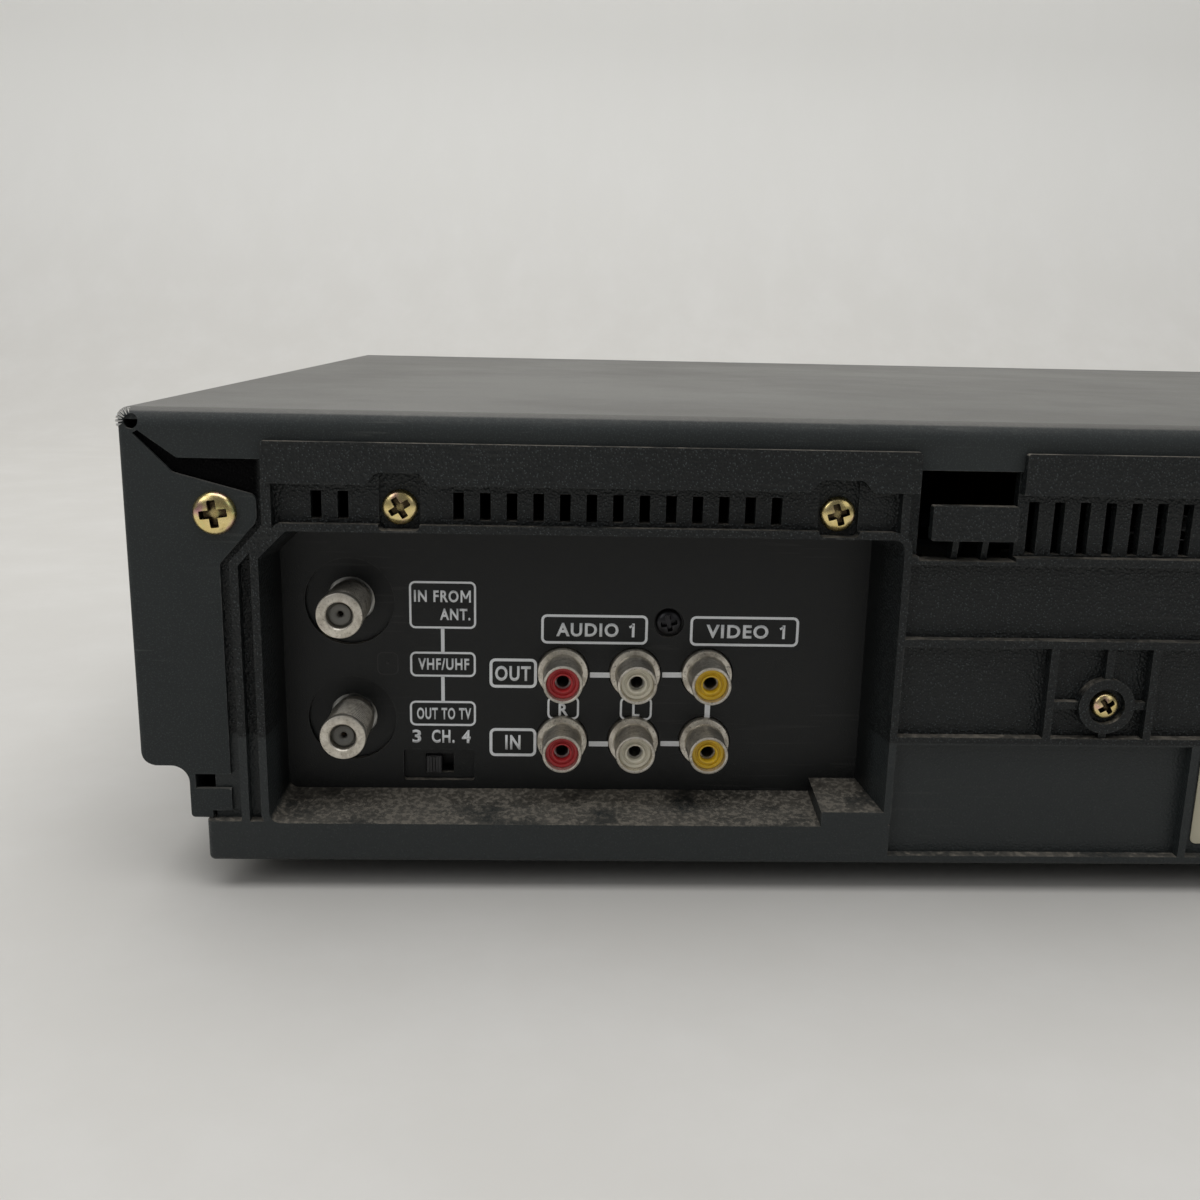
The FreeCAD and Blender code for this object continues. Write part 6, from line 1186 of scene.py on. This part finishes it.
RINGS = (60.0, 60.0, 9000.0)
METALS = (
    # name, colour, roughness, brushing as a stretch of its noise, stain, then the nodes
    ("tin_plate", (0.6, 0.6, 0.58), 0.3, None, 0.25, ("tuner_can",)),
    ("zinc_sheet", (0.56, 0.57, 0.57), 0.36, (40.0, 2600.0, 2600.0), 0.3,
     ("deck_plate", "carriage_rails", "cassette_basket", "pinch_arm", "tension_arm")),
    ("drum_metal", (0.72, 0.72, 0.71), 0.2, RINGS, 0.1, ("head_drum",)),
    ("cast_metal", (0.42, 0.42, 0.41), 0.45, None, 0.25, ("drum_base", "loading_motor")),
    ("bright_steel", (0.7, 0.7, 0.7), 0.16, None, 0.25, ("capstan_shaft", "door_spring")),
    ("flywheel_metal", (0.5, 0.47, 0.4), 0.32, RINGS, 0.25, ("capstan_flywheel",)),
    ("ferrite", (0.26, 0.25, 0.24), 0.4, (40.0, 40.0, 3000.0), 0.25,
     ("erase_head", "audio_head", "power_transformer")),
)
BOARDS = (
    # node, the axis that its parts rise along (1 is Y and 2 is Z), and where they start on it
    ("main_board", 2, 0.0167), ("power_board", 2, 0.0167), ("front_board", 1, 0.0))


class DECK_OT_finishes(bpy.types.Operator):
    """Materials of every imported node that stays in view"""
    bl_idname = "deck.finishes"
    bl_label = "Finishes"

    def execute(self, context):
        dress("rear_panel", rear_plastic())
        for build, rows in ((plain_plastic, mouldings()), (plain_metal, METALS)):
            for *look, nodes in rows:
                material = build(*look)
                for name in nodes:
                    dress(name, material)
        dress("top_cover", cover_paint())
        dress("display_window", smoked_window())
        for name, axis, level in BOARDS:
            dress(name, circuit_board(name, axis, level))
        return {"FINISHED"}


# Stage

class DECK_OT_stage(bpy.types.Operator):
    """Pale floor and backdrop, soft studio lamps and the camera"""
    bl_idname = "deck.stage"
    bl_label = "Stage"

    def execute(self, context):
        self.sweep()
        self.world()
        self.lamp("lamp_top", (0.1, 0.0, 1.8), (0.0, 0.0, 0.0), 2.2, 33.0)
        self.lamp("lamp_left", (1.4, 1.2, 1.2), (0.1, 0.1, 0.05), 0.9, 5.2)
        self.lamp("lamp_right", (-1.2, 1.5, 1.1), (0.0, 0.1, 0.05), 0.9, 2.0)
        self.camera()
        return {"FINISHED"}

    def sweep(self):
        """A floor that turns up into a wall on one broad curve."""
        sheet = fresh("plane", "stage_sweep", size=12.0)
        wall_y = -1.05
        choose(sheet, lambda middle, way: middle.y < -5.9, "EDGE")
        bpy.ops.transform.translate(value=(0, 6.0 + wall_y, 0))
        bpy.ops.mesh.extrude_region_move(TRANSFORM_OT_translate={"value": (0, 0, 3.2)})
        leave_edit()
        choose(sheet, lambda middle, way: abs(middle.y - wall_y) < 0.01 and abs(middle.z) < 0.01, "EDGE")
        bpy.ops.mesh.bevel(offset=0.42, segments=24)
        leave_edit()
        bpy.ops.object.shade_smooth()
        sheet.data.materials.append(stage_paper((0.66, 0.645, 0.612), (0.90, 0.895, 0.865)))
        return sheet

    def world(self):
        world = bpy.data.worlds.new("studio")
        bpy.context.scene.world = world
        world.use_nodes = True
        back = world.node_tree.nodes["Background"]
        back.inputs["Color"].default_value = (0.93, 0.94, 0.96, 1)
        back.inputs["Strength"].default_value = 0.12

    def lamp(self, name, place, aim, size, power):
        """A square area lamp that faces a point."""
        settle_selection()
        bpy.ops.object.light_add(type="AREA", location=place)
        lamp = bpy.context.object
        lamp.name = name
        lamp.data.shape = "SQUARE"
        lamp.data.size = size
        lamp.data.energy = power
        away = Vector(place) - Vector(aim)
        lamp.rotation_euler = away.to_track_quat("Z", "Y").to_euler()

    def camera(self):
        """The photograph's own viewpoint, from behind and a little above."""
        settle_selection()
        bpy.ops.object.camera_add(location=(0.1306, 0.3845, 0.118))
        camera = bpy.context.object
        camera.name = "view_camera"
        camera.data.lens = 36.18
        camera.data.sensor_width = 36.0
        camera.data.clip_start = 0.01
        turn = Matrix(((-0.9993, 0.0132, 0.0355), (0.0315, -0.2308, 0.9725), (0.021, 0.9729, 0.2302)))
        camera.rotation_euler = turn.to_euler()
        bpy.context.scene.camera = camera


# The add-on

OPERATORS = (DECK_OT_finishes, DECK_OT_aerial_sockets, DECK_OT_switch_ribs, DECK_OT_phono_sockets,
             DECK_OT_screws, DECK_OT_housing_details, DECK_OT_terminal_prints, DECK_OT_button_symbols,
             DECK_OT_display_figures, DECK_OT_stage)


class DECK_PT_dresser(bpy.types.Panel):
    """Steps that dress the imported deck"""
    bl_idname = "DECK_PT_dresser"
    bl_label = "Tape deck"
    bl_space_type = "VIEW_3D"
    bl_region_type = "UI"
    bl_category = "Tape deck"

    def draw(self, context):
        layout = self.layout
        for settings in (context.scene.deck_sizes, context.scene.deck_colours):
            for key in settings.__annotations__:
                layout.prop(settings, key)
        for operator in OPERATORS:
            layout.operator(operator.bl_idname)


CLASSES = (DeckSizes, DeckColours) + OPERATORS + (DECK_PT_dresser,)


def register():
    for item in CLASSES:
        bpy.utils.register_class(item)
    bpy.types.Scene.deck_sizes = bpy.props.PointerProperty(type=DeckSizes)
    bpy.types.Scene.deck_colours = bpy.props.PointerProperty(type=DeckColours)


def unregister():
    del bpy.types.Scene.deck_colours
    del bpy.types.Scene.deck_sizes
    for item in reversed(CLASSES):
        bpy.utils.unregister_class(item)


def main():
    register()
    bpy.context.scene.view_settings.view_transform = "Standard"
    for operator in OPERATORS:
        group, name = operator.bl_idname.split(".")
        getattr(getattr(bpy.ops, group), name)()


if __name__ == "__main__":
    main()
